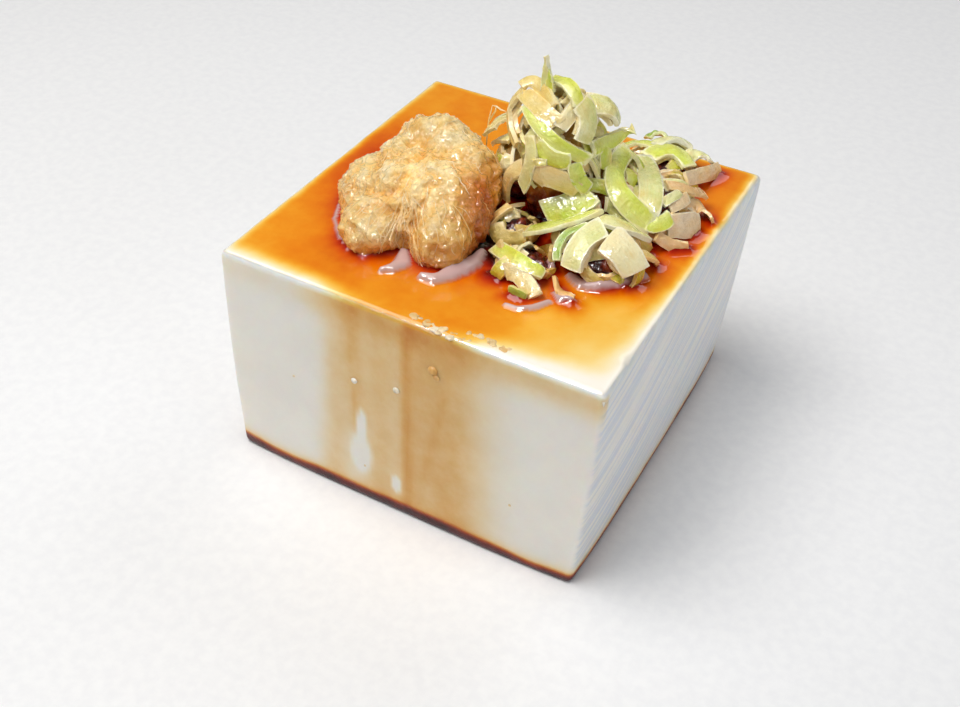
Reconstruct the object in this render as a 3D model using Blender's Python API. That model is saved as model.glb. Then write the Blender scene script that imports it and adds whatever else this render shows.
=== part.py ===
"""Chilled tofu block with grated ginger and sliced spring onion.

The block stands on its flat foot, with the ginger mound and the onion heap on its top.
Units are metres, +Z is up, and the origin is the middle of the block's foot on the ground.
+X runs along the wide front face and +Y runs towards the back.
"""
import math
import random
from collections import namedtuple

import bmesh
import bpy
from mathutils import Matrix, Vector, noise

MM = 0.001

# The block
BLOCK_WIDTH = 79.0 * MM
BLOCK_DEPTH = 81.0 * MM
BLOCK_HEIGHT = 50.0 * MM
TOP_WIDENING = 0.9 * MM          # the top is this much wider than the foot
TOP_NARROWING = 0.65 * MM        # and this much less deep
TOP_LEAN = Vector((1.1, 0.5)) * MM   # the soft block leans this far to the right and back
EDGE_RADIUS = 1.8 * MM
EDGE_SEGMENTS = 3
FACE_CUTS = 7                    # grid cuts across each face
FOOT_PULL = 0.02                 # how far the foot's corners draw in, as a share of half a side
FOOT_PULL_POWER = 4              # higher keeps the pull closer to the corners
SIDE_BARREL = 0.3 * MM           # the sides swell at half height
SKIN_WAVE = 0.12 * MM            # unevenness of the cut faces
SKIN_WAVE_LENGTH = 18.0 * MM
FLAT_FOOT_SHARE = 0.25           # the unevenness grows from the flat foot over this share of the height

# What lies on the block keeps this gap to it and to its neighbour
GAP = 0.3 * MM
TOPPING_FOOT = BLOCK_HEIGHT + GAP

# Lumps of the toppings: centre from the block's middle, height of the centre above its top,
# and half sizes across, deep and tall, all in millimetres
Lump = namedtuple("Lump", "x y z across deep tall")

GINGER_CENTRE = Vector((-14.0, -9.0, 0.8)) * MM
GINGER_LUMPS = (
    Lump(-14.5, -9.0, 3.0, 14.0, 14.0, 12.5),
    Lump(-14.5, -2.5, 5.0, 10.5, 8.5, 12.0),
    Lump(-21.5, -10.0, 3.5, 9.0, 10.5, 7.5),
    Lump(-6.0, -12.0, 4.0, 8.5, 11.0, 9.5),
    Lump(-6.5, -3.5, 5.0, 7.5, 7.0, 10.0),
    Lump(-15.5, -21.5, 3.0, 8.0, 7.0, 6.5),
    Lump(-5.0, -20.0, 3.0, 7.5, 7.5, 7.0),
)
GINGER_SUBDIVISIONS = 5
GINGER_BLEND = 9.0               # higher keeps the lumps more separate
GRAIN_SIZE = 3.4 * MM            # grated grains
GRAIN_DEPTH = 1.8 * MM           # depth of the creases between them

ONION_LUMPS = (
    Lump(9.0, 4.5, 11.0, 8.2, 8.2, 16.3),
    Lump(14.5, 9.0, 3.0, 10.3, 11.8, 10.8),
    Lump(23.5, -6.0, 0.5, 9.6, 7.6, 6.8),
    Lump(26.0, 12.0, 0.5, 7.5, 12.0, 7.0),
    Lump(21.5, 27.0, 0.3, 8.5, 8.0, 6.0),
    Lump(12.5, -15.0, 0.3, 6.0, 5.5, 4.0),
    Lump(6.0, -6.0, 0.3, 5.0, 4.5, 4.8),
    Lump(0.0, 6.5, 6.5, 5.0, 5.5, 8.5),
)
LUMP_SUBDIVISIONS = 3
LUMP_WAVE = 0.9 * MM
LUMP_WAVE_LENGTH = 5.0 * MM

# Onion slices that show most: three points of the middle line, in millimetres from the
# block's middle and above its top, then width, wall thickness and roll in degrees
Slice = namedtuple("Slice", "start middle end width thick roll")

SLICES = {
    "crown_lime": Slice((5.5, 5, 28.5), (10.5, 3, 29), (13, 2, 26.5), 2.6, 1.3, 0),
    "crown_tan": Slice((1.5, 3, 26), (4, 3.5, 27.5), (9.5, -0.5, 26), 2.6, 1.3, 20),
    "long_lime": Slice((3.5, 1, 24.5), (11, -3.5, 22), (17, 0, 17.5), 2.8, 1.4, -10),
    "long_flap": Slice((8.5, -4, 20), (11.5, -4.5, 18.5), (14.5, -3, 18), 3.2, 1.2, 15),
    "right_shell": Slice((13, 2.5, 27), (15.5, 1.5, 24), (15.5, -0.5, 20.5), 4.2, 1.3, 0),
    "left_tan": Slice((3, 2.5, 26), (0.5, 1.5, 21), (3.5, -2, 16.5), 2.8, 1.5, 0),
    "stalk": Slice((6.5, -3.5, 20.5), (7.5, -5, 17), (6.5, -5.5, 11), 2.6, 1.4, 0),
    "mid_lime": Slice((15, -2, 17), (16, -2.5, 14.5), (17.5, -0.5, 11), 3.0, 1.3, 0),
    "cream_flat": Slice((8.5, -5, 13), (12, -5.5, 14), (16, -2, 11), 4.0, 1.4, 0),
    "low_left": Slice((6, -4.5, 14.5), (2.5, -3.5, 10.5), (1.5, -2, 4.5), 2.8, 1.3, 0),
    "lobed": Slice((12.5, 5, 24.5), (16.5, 7.5, 24), (18.5, 9, 20.5), 4.2, 1.5, 10),
    "right_flap": Slice((16.5, 1.5, 18.5), (17.5, 9, 17), (20, 13, 18), 3.4, 1.3, 10),
    "behind_left": Slice((-4.5, 2.5, 14), (-3.5, 6, 15.5), (0, 8, 17), 4.4, 1.3, 10),
    "stack_up": Slice((11, -5, 6), (15.5, -3, 8.5), (18.5, -0.5, 10.5), 4.0, 1.6, 15),
    "stack_low": Slice((10, -8.5, 3.5), (16.5, -7, 7), (20.5, -1.5, 8), 4.2, 1.6, 0),
    "grey_ring": Slice((3, -8.5, 3), (6, -10.5, 2), (9.5, -9, 3), 3.4, 1.3, 0),
    "low_lime": Slice((6, -14.5, 2), (13, -18.5, 4), (17.5, -18, 2.5), 3.2, 1.5, 0),
    "stub": Slice((11, -20.5, 2), (14, -20.5, 2.5), (18.5, -22.5, 1), 3.2, 1.6, 0),
    "thick_cream": Slice((24, -6.5, 8.5), (22, -12, 7), (22, -15.5, 3.5), 4.6, 2.0, 0),
    "core_white": Slice((25.5, -9, 8), (29, -9.5, 7), (32.5, -10, 3.5), 6.5, 1.8, 0),
    "pale_top": Slice((22, -4.5, 8.5), (26.5, -3.5, 8), (29.5, 0, 4.5), 4.4, 1.6, 0),
    "upper_mid": Slice((21, 0.5, 9), (23, 2, 7.5), (25.5, 1.5, 5.5), 3.0, 1.4, 0),
    "crescent": Slice((18.5, 16, 11.5), (21, 4, 11.5), (29.5, 3.5, 5), 4.2, 1.6, 10),
    "crescent_core": Slice((19.5, 20, 8), (26, 10.5, 9), (28, 4.5, 7), 4.8, 1.2, 0),
    "right_lime": Slice((20, 23, 6.5), (23.5, 27.5, 7), (28.5, 27, 5), 4.2, 1.5, 0),
    "back_pale": Slice((19, 28, 6.5), (22, 32, 6.5), (26, 34, 4.5), 3.4, 1.5, 0),
    "corner_green": Slice((16.5, 31, 5.5), (18.5, 33.5, 6.5), (21.5, 34, 5.5), 3.0, 1.4, 0),
    "band_behind": Slice((14, 24.5, 6), (16.5, 28, 6.5), (20, 29.5, 6), 3.0, 1.4, 0),
    "far_flake": Slice((26, 30, 4), (28, 33.5, 4), (31, 34.5, 2.5), 3.4, 1.4, 0),
    "soaked_far": Slice((29, 22, 5), (31, 29, 3), (32, 35.5, 1), 3.2, 1.3, 0),
    "sliver": Slice((28, 13.5, 8), (31.5, 17, 6), (33.5, 22, 2.5), 2.4, 1.3, 0),
    "soaked_near": Slice((30, 8, 7), (31.5, 11, 6.5), (32, 15, 5.5), 3.0, 1.3, 0),
    "detached": Slice((31, 15, 3), (34, 17, 2.2), (37.5, 16.5, 0.9), 3.4, 1.3, 0),
    "crumple": Slice((31, 5, 4.5), (34, 8, 3.5), (36, 12.5, 1.2), 5.0, 1.6, 0),
    "pink_arc": Slice((30.5, 2.5, 3.5), (33.5, 4, 1.5), (36.5, 6.5, 0.9), 2.6, 1.3, 0),
}
TIP_FOOT = Vector((6.6, 3.0, 27.0)) * MM     # the pointed sliver on top of the heap
TIP_POINT = Vector((5.9, 2.7, 33.5)) * MM
TIP_RADIUS = 1.9 * MM
TIP_BLUNTNESS = 0.15             # radius at the point, as a share of the radius at the foot
TIP_SIDES = 6

SLICE_CUTS = 5
WIDE_SLICE = 3.4 * MM            # from this width a slice is cupped across
SLICE_CUP = 0.22                 # depth of the cup, as a share of the width
END_TAPER = 0.72                 # width at a slice's ends, as a share of its full width
PROUD = 0.4 * MM                 # slices stand this much further out than their points
LEAST_RISE = 0.15                # slices never face further down than this share of upwards

# Slices in between, spread over the lumps by rule
FILLER_SEED = 9
FILLERS_PER_LUMP = (11, 9, 6, 4, 6, 3, 2, 4)
FILLER_LENGTH = (6.0 * MM, 10.0 * MM)
FILLER_WIDTH = (2.0 * MM, 3.2 * MM)
FILLER_THICK = 1.3 * MM
FILLER_CLIMB = (0.05, 0.9)       # height on its lump, as a share of the lump's
FILLER_DROP = (0.15, 0.45)       # how far the ends bend down, as a share of half the length
FILLER_LIFT = (0.0, 0.6)         # how far the middle lies above the lump, in wall thicknesses
FILLER_ROLL = (-35.0, 35.0)      # degrees
FILLER_CUTS = 2

TOFU_COLOUR = (0.86, 0.83, 0.76, 1.0)
GINGER_COLOUR = (0.72, 0.50, 0.26, 1.0)
ONION_COLOUR = (0.52, 0.62, 0.25, 1.0)


def make_material(name, colour, roughness):
    """Return a plain Principled material."""
    material = bpy.data.materials.new(name)
    material.use_nodes = True
    shader = material.node_tree.nodes["Principled BSDF"]
    shader.inputs["Base Color"].default_value = colour
    shader.inputs["Roughness"].default_value = roughness
    shader.inputs["Metallic"].default_value = 0.0
    return material


def make_object(name, bm, collection):
    """Turn a bmesh into an object in the collection."""
    mesh = bpy.data.meshes.new(name)
    bm.to_mesh(mesh)
    bm.free()
    obj = bpy.data.objects.new(name, mesh)
    collection.objects.link(obj)
    return obj


def block_point(point):
    """Move a point of the plain box to where the soft block has it."""
    rise = point.z / BLOCK_HEIGHT
    across = point.x / (BLOCK_WIDTH / 2)
    deep = point.y / (BLOCK_DEPTH / 2)
    pull = 1.0 - FOOT_PULL * (1.0 - rise) * (across * deep) ** FOOT_PULL_POWER
    swell = SIDE_BARREL * math.sin(math.pi * rise)
    half_width = (BLOCK_WIDTH + TOP_WIDENING * rise) / 2 + swell
    half_depth = (BLOCK_DEPTH - TOP_NARROWING * rise) / 2 + swell
    wave = SKIN_WAVE * noise.noise(point / SKIN_WAVE_LENGTH)
    wave *= min(1.0, rise / FLAT_FOOT_SHARE)
    return Vector((
        across * half_width * pull + TOP_LEAN.x * rise + wave,
        deep * half_depth * pull + TOP_LEAN.y * rise - wave,
        point.z + wave,
    ))


def centre_on_ground(bm):
    """Put the middle of the mesh's box over the origin, with its lowest point at zero."""
    lows = Vector([min(v.co[axis] for v in bm.verts) for axis in range(3)])
    highs = Vector([max(v.co[axis] for v in bm.verts) for axis in range(3)])
    middle = (lows + highs) / 2
    bmesh.ops.translate(bm, verts=bm.verts, vec=(-middle.x, -middle.y, -lows.z))


def make_block(collection):
    """The block: a rounded box with a gridded skin, drawn in at the foot and leaning a little."""
    bm = bmesh.new()
    size = Matrix.Diagonal((BLOCK_WIDTH, BLOCK_DEPTH, BLOCK_HEIGHT, 1.0))
    lift = Matrix.Translation((0.0, 0.0, BLOCK_HEIGHT / 2))
    bmesh.ops.create_cube(bm, size=1.0, matrix=lift @ size)
    bmesh.ops.bevel(bm, geom=bm.edges[:], offset=EDGE_RADIUS, offset_type="OFFSET",
                    segments=EDGE_SEGMENTS, profile=0.5, affect="EDGES", material=-1)
    long_edges = [edge for edge in bm.edges if edge.calc_length() > 4 * EDGE_RADIUS]
    bmesh.ops.subdivide_edges(bm, edges=long_edges, cuts=FACE_CUTS, use_grid_fill=True)
    for vert in bm.verts:
        vert.co = block_point(vert.co)
    centre_on_ground(bm)
    return make_object("tofu_block", bm, collection)


def lump_reach(origin, direction, lump, grow):
    """Distance from the origin along the direction to the far side of a lump, or zero."""
    centre = Vector((lump.x, lump.y, lump.z)) * MM
    half = Vector((lump.across, lump.deep, lump.tall)) * MM + Vector((grow, grow, grow))
    start = Vector([(origin[i] - centre[i]) / half[i] for i in range(3)])
    step = Vector([direction[i] / half[i] for i in range(3)])
    square = step.dot(step)
    mixed = start.dot(step)
    inside = mixed * mixed - square * (start.dot(start) - 1.0)
    if inside <= 0.0:
        return 0.0
    return max(0.0, (math.sqrt(inside) - mixed) / square)


def ginger_radius(direction, grow):
    """Smooth outer radius of the mound in a direction, with its grains in relief."""
    reaches = [lump_reach(GINGER_CENTRE, direction, lump, grow) for lump in GINGER_LUMPS]
    longest = max(reaches)
    blended = sum((reach / longest) ** GINGER_BLEND for reach in reaches)
    smooth = longest * blended ** (1.0 / (2.0 * GINGER_BLEND))
    surface = (GINGER_CENTRE + direction * smooth) / GRAIN_SIZE
    nearest = noise.voronoi(surface)[0][0]
    return smooth - GRAIN_DEPTH * min(1.0, nearest) ** 2


def ginger_bmesh(grow):
    """The ginger mound as a closed bmesh over the block's top, grown on all sides."""
    bm = bmesh.new()
    bmesh.ops.create_icosphere(bm, subdivisions=GINGER_SUBDIVISIONS, radius=1.0)
    for vert in bm.verts:
        direction = vert.co.normalized()
        vert.co = GINGER_CENTRE + direction * ginger_radius(direction, grow)
        vert.co.z += BLOCK_HEIGHT
    cut = bmesh.ops.bisect_plane(
        bm, geom=bm.verts[:] + bm.edges[:] + bm.faces[:], dist=0.01 * MM,
        plane_co=(0.0, 0.0, TOPPING_FOOT - grow), plane_no=(0.0, 0.0, 1.0), clear_inner=True)
    rim = [item for item in cut["geom_cut"] if isinstance(item, bmesh.types.BMEdge)]
    bmesh.ops.holes_fill(bm, edges=rim, sides=0)
    bmesh.ops.triangulate(bm, faces=bm.faces[:])
    bmesh.ops.recalc_face_normals(bm, faces=bm.faces[:])
    return bm


def make_ginger(collection):
    """The mound of grated ginger."""
    return make_object("grated_ginger", ginger_bmesh(0.0), collection)


def make_lump(index, lump, collection):
    """One bumpy lump of the onion heap's core."""
    bm = bmesh.new()
    bmesh.ops.create_icosphere(bm, subdivisions=LUMP_SUBDIVISIONS, radius=1.0)
    centre = Vector((lump.x, lump.y, lump.z)) * MM + Vector((0.0, 0.0, BLOCK_HEIGHT))
    for vert in bm.verts:
        outward = vert.co.normalized()
        place = Vector((outward.x * lump.across, outward.y * lump.deep, outward.z * lump.tall))
        place = centre + place * MM
        vert.co = place + outward * LUMP_WAVE * noise.noise(place / LUMP_WAVE_LENGTH)
    return make_object(f"heap_lump_{index}", bm, collection)


def curve_point(piece, share):
    """Point and heading at a share of the way along a slice, which passes its middle."""
    start, middle, end = (Vector(p) * MM for p in (piece.start, piece.middle, piece.end))
    handle = middle * 2 - (start + end) / 2
    point = start * (1 - share) ** 2 + handle * 2 * share * (1 - share) + end * share ** 2
    heading = (handle - start) * (1 - share) + (end - handle) * share
    return point, heading.normalized()


def heap_outward(point):
    """Direction away from the nearest lump's middle at a point, never pointing down."""
    best = None
    for lump in ONION_LUMPS:
        away = point - Vector((lump.x, lump.y, lump.z)) * MM
        scaled = Vector((away.x / lump.across, away.y / lump.deep, away.z / lump.tall))
        normal = Vector((scaled.x / lump.across, scaled.y / lump.deep, scaled.z / lump.tall))
        if best is None or scaled.length < best[0]:
            best = (scaled.length, normal)
    outward = best[1].normalized()
    outward.z = max(outward.z, LEAST_RISE)
    return outward.normalized()


def make_slice(name, piece, cuts, collection):
    """One slice: a flat bar bent along its curve, cupped across where it is wide."""
    bm = bmesh.new()
    bmesh.ops.create_cube(bm, size=1.0)
    along = [e for e in bm.edges if abs(e.verts[0].co.x - e.verts[1].co.x) > 0.5]
    bmesh.ops.subdivide_edges(bm, edges=along, cuts=cuts, use_grid_fill=True)
    width = piece.width * MM
    if width >= WIDE_SLICE:
        across = [e for e in bm.edges if abs(e.verts[0].co.y - e.verts[1].co.y) > 0.5]
        bmesh.ops.subdivide_edges(bm, edges=across, cuts=1, use_grid_fill=True)
    lift = Vector((0.0, 0.0, BLOCK_HEIGHT))
    facing = heap_outward(Vector(piece.middle) * MM)
    for vert in bm.verts:
        share, side, layer = vert.co.x + 0.5, vert.co.y, vert.co.z
        point, heading = curve_point(piece, share)
        sideways = facing.cross(heading).normalized()
        sideways = Matrix.Rotation(math.radians(piece.roll), 3, heading) @ sideways
        outward = heading.cross(sideways)
        middle_share = math.sin(math.pi * share)
        span = width * (END_TAPER + (1.0 - END_TAPER) * middle_share)
        cup = -4.0 * SLICE_CUP * width * side * side if width >= WIDE_SLICE else 0.0
        height = layer * piece.thick * MM + cup
        vert.co = point + sideways * side * span + outward * height + facing * PROUD + lift
    return make_object(name, bm, collection)


def make_tip(collection):
    """The pointed sliver that stands on top of the heap."""
    run = TIP_POINT - TIP_FOOT
    middle = (TIP_FOOT + TIP_POINT) / 2 + Vector((0.0, 0.0, BLOCK_HEIGHT))
    turn = run.to_track_quat("Z", "Y").to_matrix().to_4x4()
    bm = bmesh.new()
    bmesh.ops.create_cone(bm, cap_ends=True, segments=TIP_SIDES, radius1=TIP_RADIUS,
                          radius2=TIP_RADIUS * TIP_BLUNTNESS, depth=run.length,
                          matrix=Matrix.Translation(middle) @ turn)
    return make_object("slice_tip", bm, collection)


def is_buried(point, own_lump):
    """Whether a point lies inside another lump of the heap."""
    for lump in ONION_LUMPS:
        away = point - Vector((lump.x, lump.y, lump.z)) * MM
        scaled = Vector((away.x / lump.across, away.y / lump.deep, away.z / lump.tall)) / MM
        if lump is not own_lump and scaled.length < 1.0:
            return True
    return False


def filler_slice(lump, bearing, draw):
    """A slice lying on a lump at a bearing from its middle, or None where it would be buried."""
    climb = math.asin(draw.uniform(*FILLER_CLIMB))
    outward = Vector((math.cos(climb) * math.cos(bearing),
                      math.cos(climb) * math.sin(bearing), math.sin(climb)))
    middle = Vector((lump.x + outward.x * lump.across, lump.y + outward.y * lump.deep,
                     lump.z + outward.z * lump.tall)) * MM
    turn = Matrix.Rotation(draw.uniform(0.0, math.pi), 3, outward)
    heading = turn @ outward.orthogonal().normalized()
    half_run = heading * draw.uniform(*FILLER_LENGTH) / 2
    drop = outward * half_run.length * draw.uniform(*FILLER_DROP)
    lift = outward * FILLER_THICK * draw.uniform(*FILLER_LIFT)
    width, roll = draw.uniform(*FILLER_WIDTH) / MM, draw.uniform(*FILLER_ROLL)
    if is_buried(middle, lump):
        return None
    points = [middle - half_run - drop, middle + lift, middle + half_run - drop]
    return Slice(*[tuple(point / MM) for point in points], width, FILLER_THICK / MM, roll)


def make_fillers(collection):
    """Slices spread evenly round each lump, where they show."""
    draw = random.Random(FILLER_SEED)
    for lump, count in zip(ONION_LUMPS, FILLERS_PER_LUMP):
        for step in range(count):
            bearing = 2.0 * math.pi * (step + draw.random()) / count
            piece = filler_slice(lump, bearing, draw)
            if piece:
                make_slice("slice_filler", piece, FILLER_CUTS, collection)


def make_cutter(name, bm, collection):
    """A hidden solid that others are cut by."""
    cutter = make_object(name, bm, collection)
    cutter.hide_render = True
    cutter.display_type = "WIRE"
    return cutter


def join_heap(core, pieces, floor, neighbour):
    """Fuse the pieces onto the core and cut the result clear of the block and the ginger."""
    union = core.modifiers.new("fuse_slices", "BOOLEAN")
    union.operation = "UNION"
    union.operand_type = "COLLECTION"
    union.collection = pieces
    union.solver = "MANIFOLD"
    for name, cutter in (("clear_of_block", floor), ("clear_of_ginger", neighbour)):
        cut = core.modifiers.new(name, "BOOLEAN")
        cut.operation = "DIFFERENCE"
        cut.object = cutter
        cut.solver = "MANIFOLD"
    graph = bpy.context.evaluated_depsgraph_get()
    mesh = bpy.data.meshes.new_from_object(core.evaluated_get(graph))
    core.modifiers.clear()
    core.data = mesh
    for piece in list(pieces.objects):
        bpy.data.objects.remove(piece, do_unlink=True)
    bpy.data.collections.remove(pieces)


def island_volume(faces):
    """Signed volume enclosed by a set of faces."""
    total = 0.0
    for face in faces:
        first = face.verts[0].co
        for left, right in zip(face.verts[1:-1], face.verts[2:]):
            total += first.dot(left.co.cross(right.co)) / 6.0
    return total


def connected_faces(bm):
    """Sets of faces that hang together across edges with exactly two faces."""
    waiting = set(bm.faces)
    islands = []
    while waiting:
        stack = [waiting.pop()]
        island = []
        while stack:
            face = stack.pop()
            island.append(face)
            for edge in face.edges:
                if len(edge.link_faces) != 2:
                    continue
                for neighbour in edge.link_faces:
                    if neighbour in waiting:
                        waiting.remove(neighbour)
                        stack.append(neighbour)
        islands.append(island)
    return islands


def keep_main_body(mesh):
    """Drop loose scraps and sealed hollows, so that one solid body is left."""
    bm = bmesh.new()
    bm.from_mesh(mesh)
    bmesh.ops.triangulate(bm, faces=bm.faces[:])
    islands = sorted(connected_faces(bm), key=island_volume)
    scraps = [face for island in islands[:-1] for face in island]
    bmesh.ops.delete(bm, geom=scraps, context="FACES")
    bm.to_mesh(mesh)
    bm.free()


def make_onion(collection, cutters):
    """The heap of sliced spring onion: bumpy core, the slices that show, and fillers."""
    pieces = bpy.data.collections.new("heap_pieces")
    bpy.context.scene.collection.children.link(pieces)
    core = make_lump(0, ONION_LUMPS[0], collection)
    core.name = "spring_onion"
    for index, lump in enumerate(ONION_LUMPS[1:], start=1):
        make_lump(index, lump, pieces)
    for name, piece in SLICES.items():
        make_slice(f"slice_{name}", piece, SLICE_CUTS, pieces)
    make_fillers(pieces)
    make_tip(pieces)
    slab = bmesh.new()
    slab_size = Matrix.Diagonal((2 * BLOCK_WIDTH, 2 * BLOCK_DEPTH, BLOCK_HEIGHT, 1.0))
    slab_place = Matrix.Translation((0.0, 0.0, TOPPING_FOOT - BLOCK_HEIGHT / 2))
    bmesh.ops.create_cube(slab, size=1.0, matrix=slab_place @ slab_size)
    floor = make_cutter("clear_of_block", slab, cutters)
    neighbour = make_cutter("clear_of_ginger", ginger_bmesh(2 * GAP), cutters)
    join_heap(core, pieces, floor, neighbour)
    keep_main_body(core.data)
    return core


def main():
    """Build the block and its two toppings under one empty."""
    for obj in list(bpy.data.objects):
        bpy.data.objects.remove(obj, do_unlink=True)
    parts = bpy.data.collections.new("tofu_with_toppings")
    cutters = bpy.data.collections.new("cutters")
    bpy.context.scene.collection.children.link(parts)
    bpy.context.scene.collection.children.link(cutters)
    stand = bpy.data.objects.new("tofu_stand", None)
    parts.objects.link(stand)
    finishes = (
        (make_block(parts), make_material("tofu", TOFU_COLOUR, 0.35)),
        (make_ginger(parts), make_material("ginger", GINGER_COLOUR, 0.3)),
        (make_onion(parts, cutters), make_material("onion", ONION_COLOUR, 0.4)),
    )
    for obj, material in finishes:
        obj.data.materials.clear()
        obj.data.materials.append(material)
        obj.parent = stand


main()
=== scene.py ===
"""Looks of a chilled tofu block with soy sauce, grated ginger and sliced spring onion.

Every piece is built round the fixed frame of solids, in metres, +Z up. The block's front face
looks along -Y. Sizes of the food are in millimetres, from the middle of the block's foot, and
heights of the toppings are above the block's top.
"""
import logging
import math
import random
from dataclasses import dataclass, field
from enum import Enum
from typing import Iterable, Optional

import bmesh
import bpy
from mathutils import Matrix, Vector, noise
from mathutils.bvhtree import BVHTree


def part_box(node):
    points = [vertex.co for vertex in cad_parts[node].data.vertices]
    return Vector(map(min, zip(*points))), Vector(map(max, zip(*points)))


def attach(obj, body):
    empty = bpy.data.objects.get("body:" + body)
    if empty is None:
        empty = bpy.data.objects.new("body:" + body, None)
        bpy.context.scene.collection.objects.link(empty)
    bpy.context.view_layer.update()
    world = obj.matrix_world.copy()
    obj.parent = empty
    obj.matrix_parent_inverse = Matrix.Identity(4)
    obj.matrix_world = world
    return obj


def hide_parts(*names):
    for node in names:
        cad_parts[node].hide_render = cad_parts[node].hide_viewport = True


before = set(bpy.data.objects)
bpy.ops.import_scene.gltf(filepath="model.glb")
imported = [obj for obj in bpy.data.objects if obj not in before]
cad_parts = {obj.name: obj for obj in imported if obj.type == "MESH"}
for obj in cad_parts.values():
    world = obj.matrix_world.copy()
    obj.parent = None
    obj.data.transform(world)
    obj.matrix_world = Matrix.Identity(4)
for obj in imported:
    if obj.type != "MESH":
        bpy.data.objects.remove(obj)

MM = 0.001
LOG = logging.getLogger("tofu_looks")
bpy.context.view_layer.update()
BLOCK_LOW, BLOCK_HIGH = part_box("tofu_block")
TOP_Z = 50.0 * MM                # the plain top of the block, which the toppings measure from
TOP = Vector((0.0, 0.0, TOP_Z))
UP = Vector((0.0, 0.0, 1.0))
TOPPING_GAP = 0.3 * MM
ABOVE = 10.0 * MM                # height over the top from which its skin is looked for
FAR_AWAY = 99.0                  # distance in millimetres where no topping is near
FARTHEST_SEARCH = 9.0            # in metres, well past the whole food
FULL_TURN = 2.0 * math.pi
DARKENING = 0.055                # how fast deep sauce turns from red to nearly black
NOISE_SEED = 7                   # keeps the unevenness of grains and crumbs the same in each run
SLICE_LAYERS = ("layer", "edge", "along", "side", "soak_and_shade", "tone")

Colour = tuple[float, float, float, float]


def paint(red: int, green: int, blue: int) -> Colour:
    """Return the linear colour of a paint chip given as 0 to 255.

    Args:
        red: Red of the chip.
        green: Green of the chip.
        blue: Blue of the chip.

    Returns:
        Linear red, green and blue, with an alpha of one.
    """
    shares = [value / 255.0 for value in (red, green, blue)]
    linear = [s / 12.92 if s <= 0.04045 else ((s + 0.055) / 1.055) ** 2.4 for s in shares]
    return (linear[0], linear[1], linear[2], 1.0)


def ease(value: float, low: float, high: float) -> float:
    """Return a smooth step from 0 at low to 1 at high.

    Args:
        value: Where on the step.
        low: Where the step starts.
        high: Where the step ends.

    Returns:
        Share of the step, from 0 to 1.
    """
    share = min(1.0, max(0.0, (value - low) / (high - low)))
    return share * share * (3.0 - 2.0 * share)


def bell(distance: float, reach: float) -> float:
    """Return a smooth bump of height 1 that has faded at about twice its reach."""
    return math.exp(-(distance / reach) ** 2)


def millimetres(x: float, y: float, z: float) -> Vector:
    """Return a point given in millimetres as one in metres."""
    return Vector((x, y, z)) * MM


def aim(bearing: float, climb: float) -> Vector:
    """Return the direction with a bearing round +Z and a climb over level, in radians."""
    level = math.cos(climb)
    return Vector((level * math.cos(bearing), level * math.sin(bearing), math.sin(climb)))


def add_layers(bm: bmesh.types.BMesh, names: Iterable[str]) -> dict[str, object]:
    """Give a mesh's points number layers, and return them by name."""
    return {name: bm.verts.layers.float.new(name) for name in names}


def stand_on_top(bm: bmesh.types.BMesh) -> None:
    """Cut a topping flat where it stands on the tofu, and close it there.

    Args:
        bm: The topping's mesh.
    """
    cut = bmesh.ops.bisect_plane(
        bm, geom=bm.verts[:] + bm.edges[:] + bm.faces[:], dist=0.001 * MM,
        plane_co=(0.0, 0.0, TOP_Z + TOPPING_GAP / 2), plane_no=UP, clear_inner=True)
    rim = [item for item in cut["geom_cut"] if isinstance(item, bmesh.types.BMEdge)]
    bmesh.ops.holes_fill(bm, edges=rim, sides=0)
    bmesh.ops.triangulate(bm, faces=bm.faces[:])
    bmesh.ops.recalc_face_normals(bm, faces=bm.faces[:])


class Slot(Enum):
    """Material slots of the record."""

    TOFU = "tofu"
    GINGER = "ginger"
    ONION = "onion"


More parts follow.
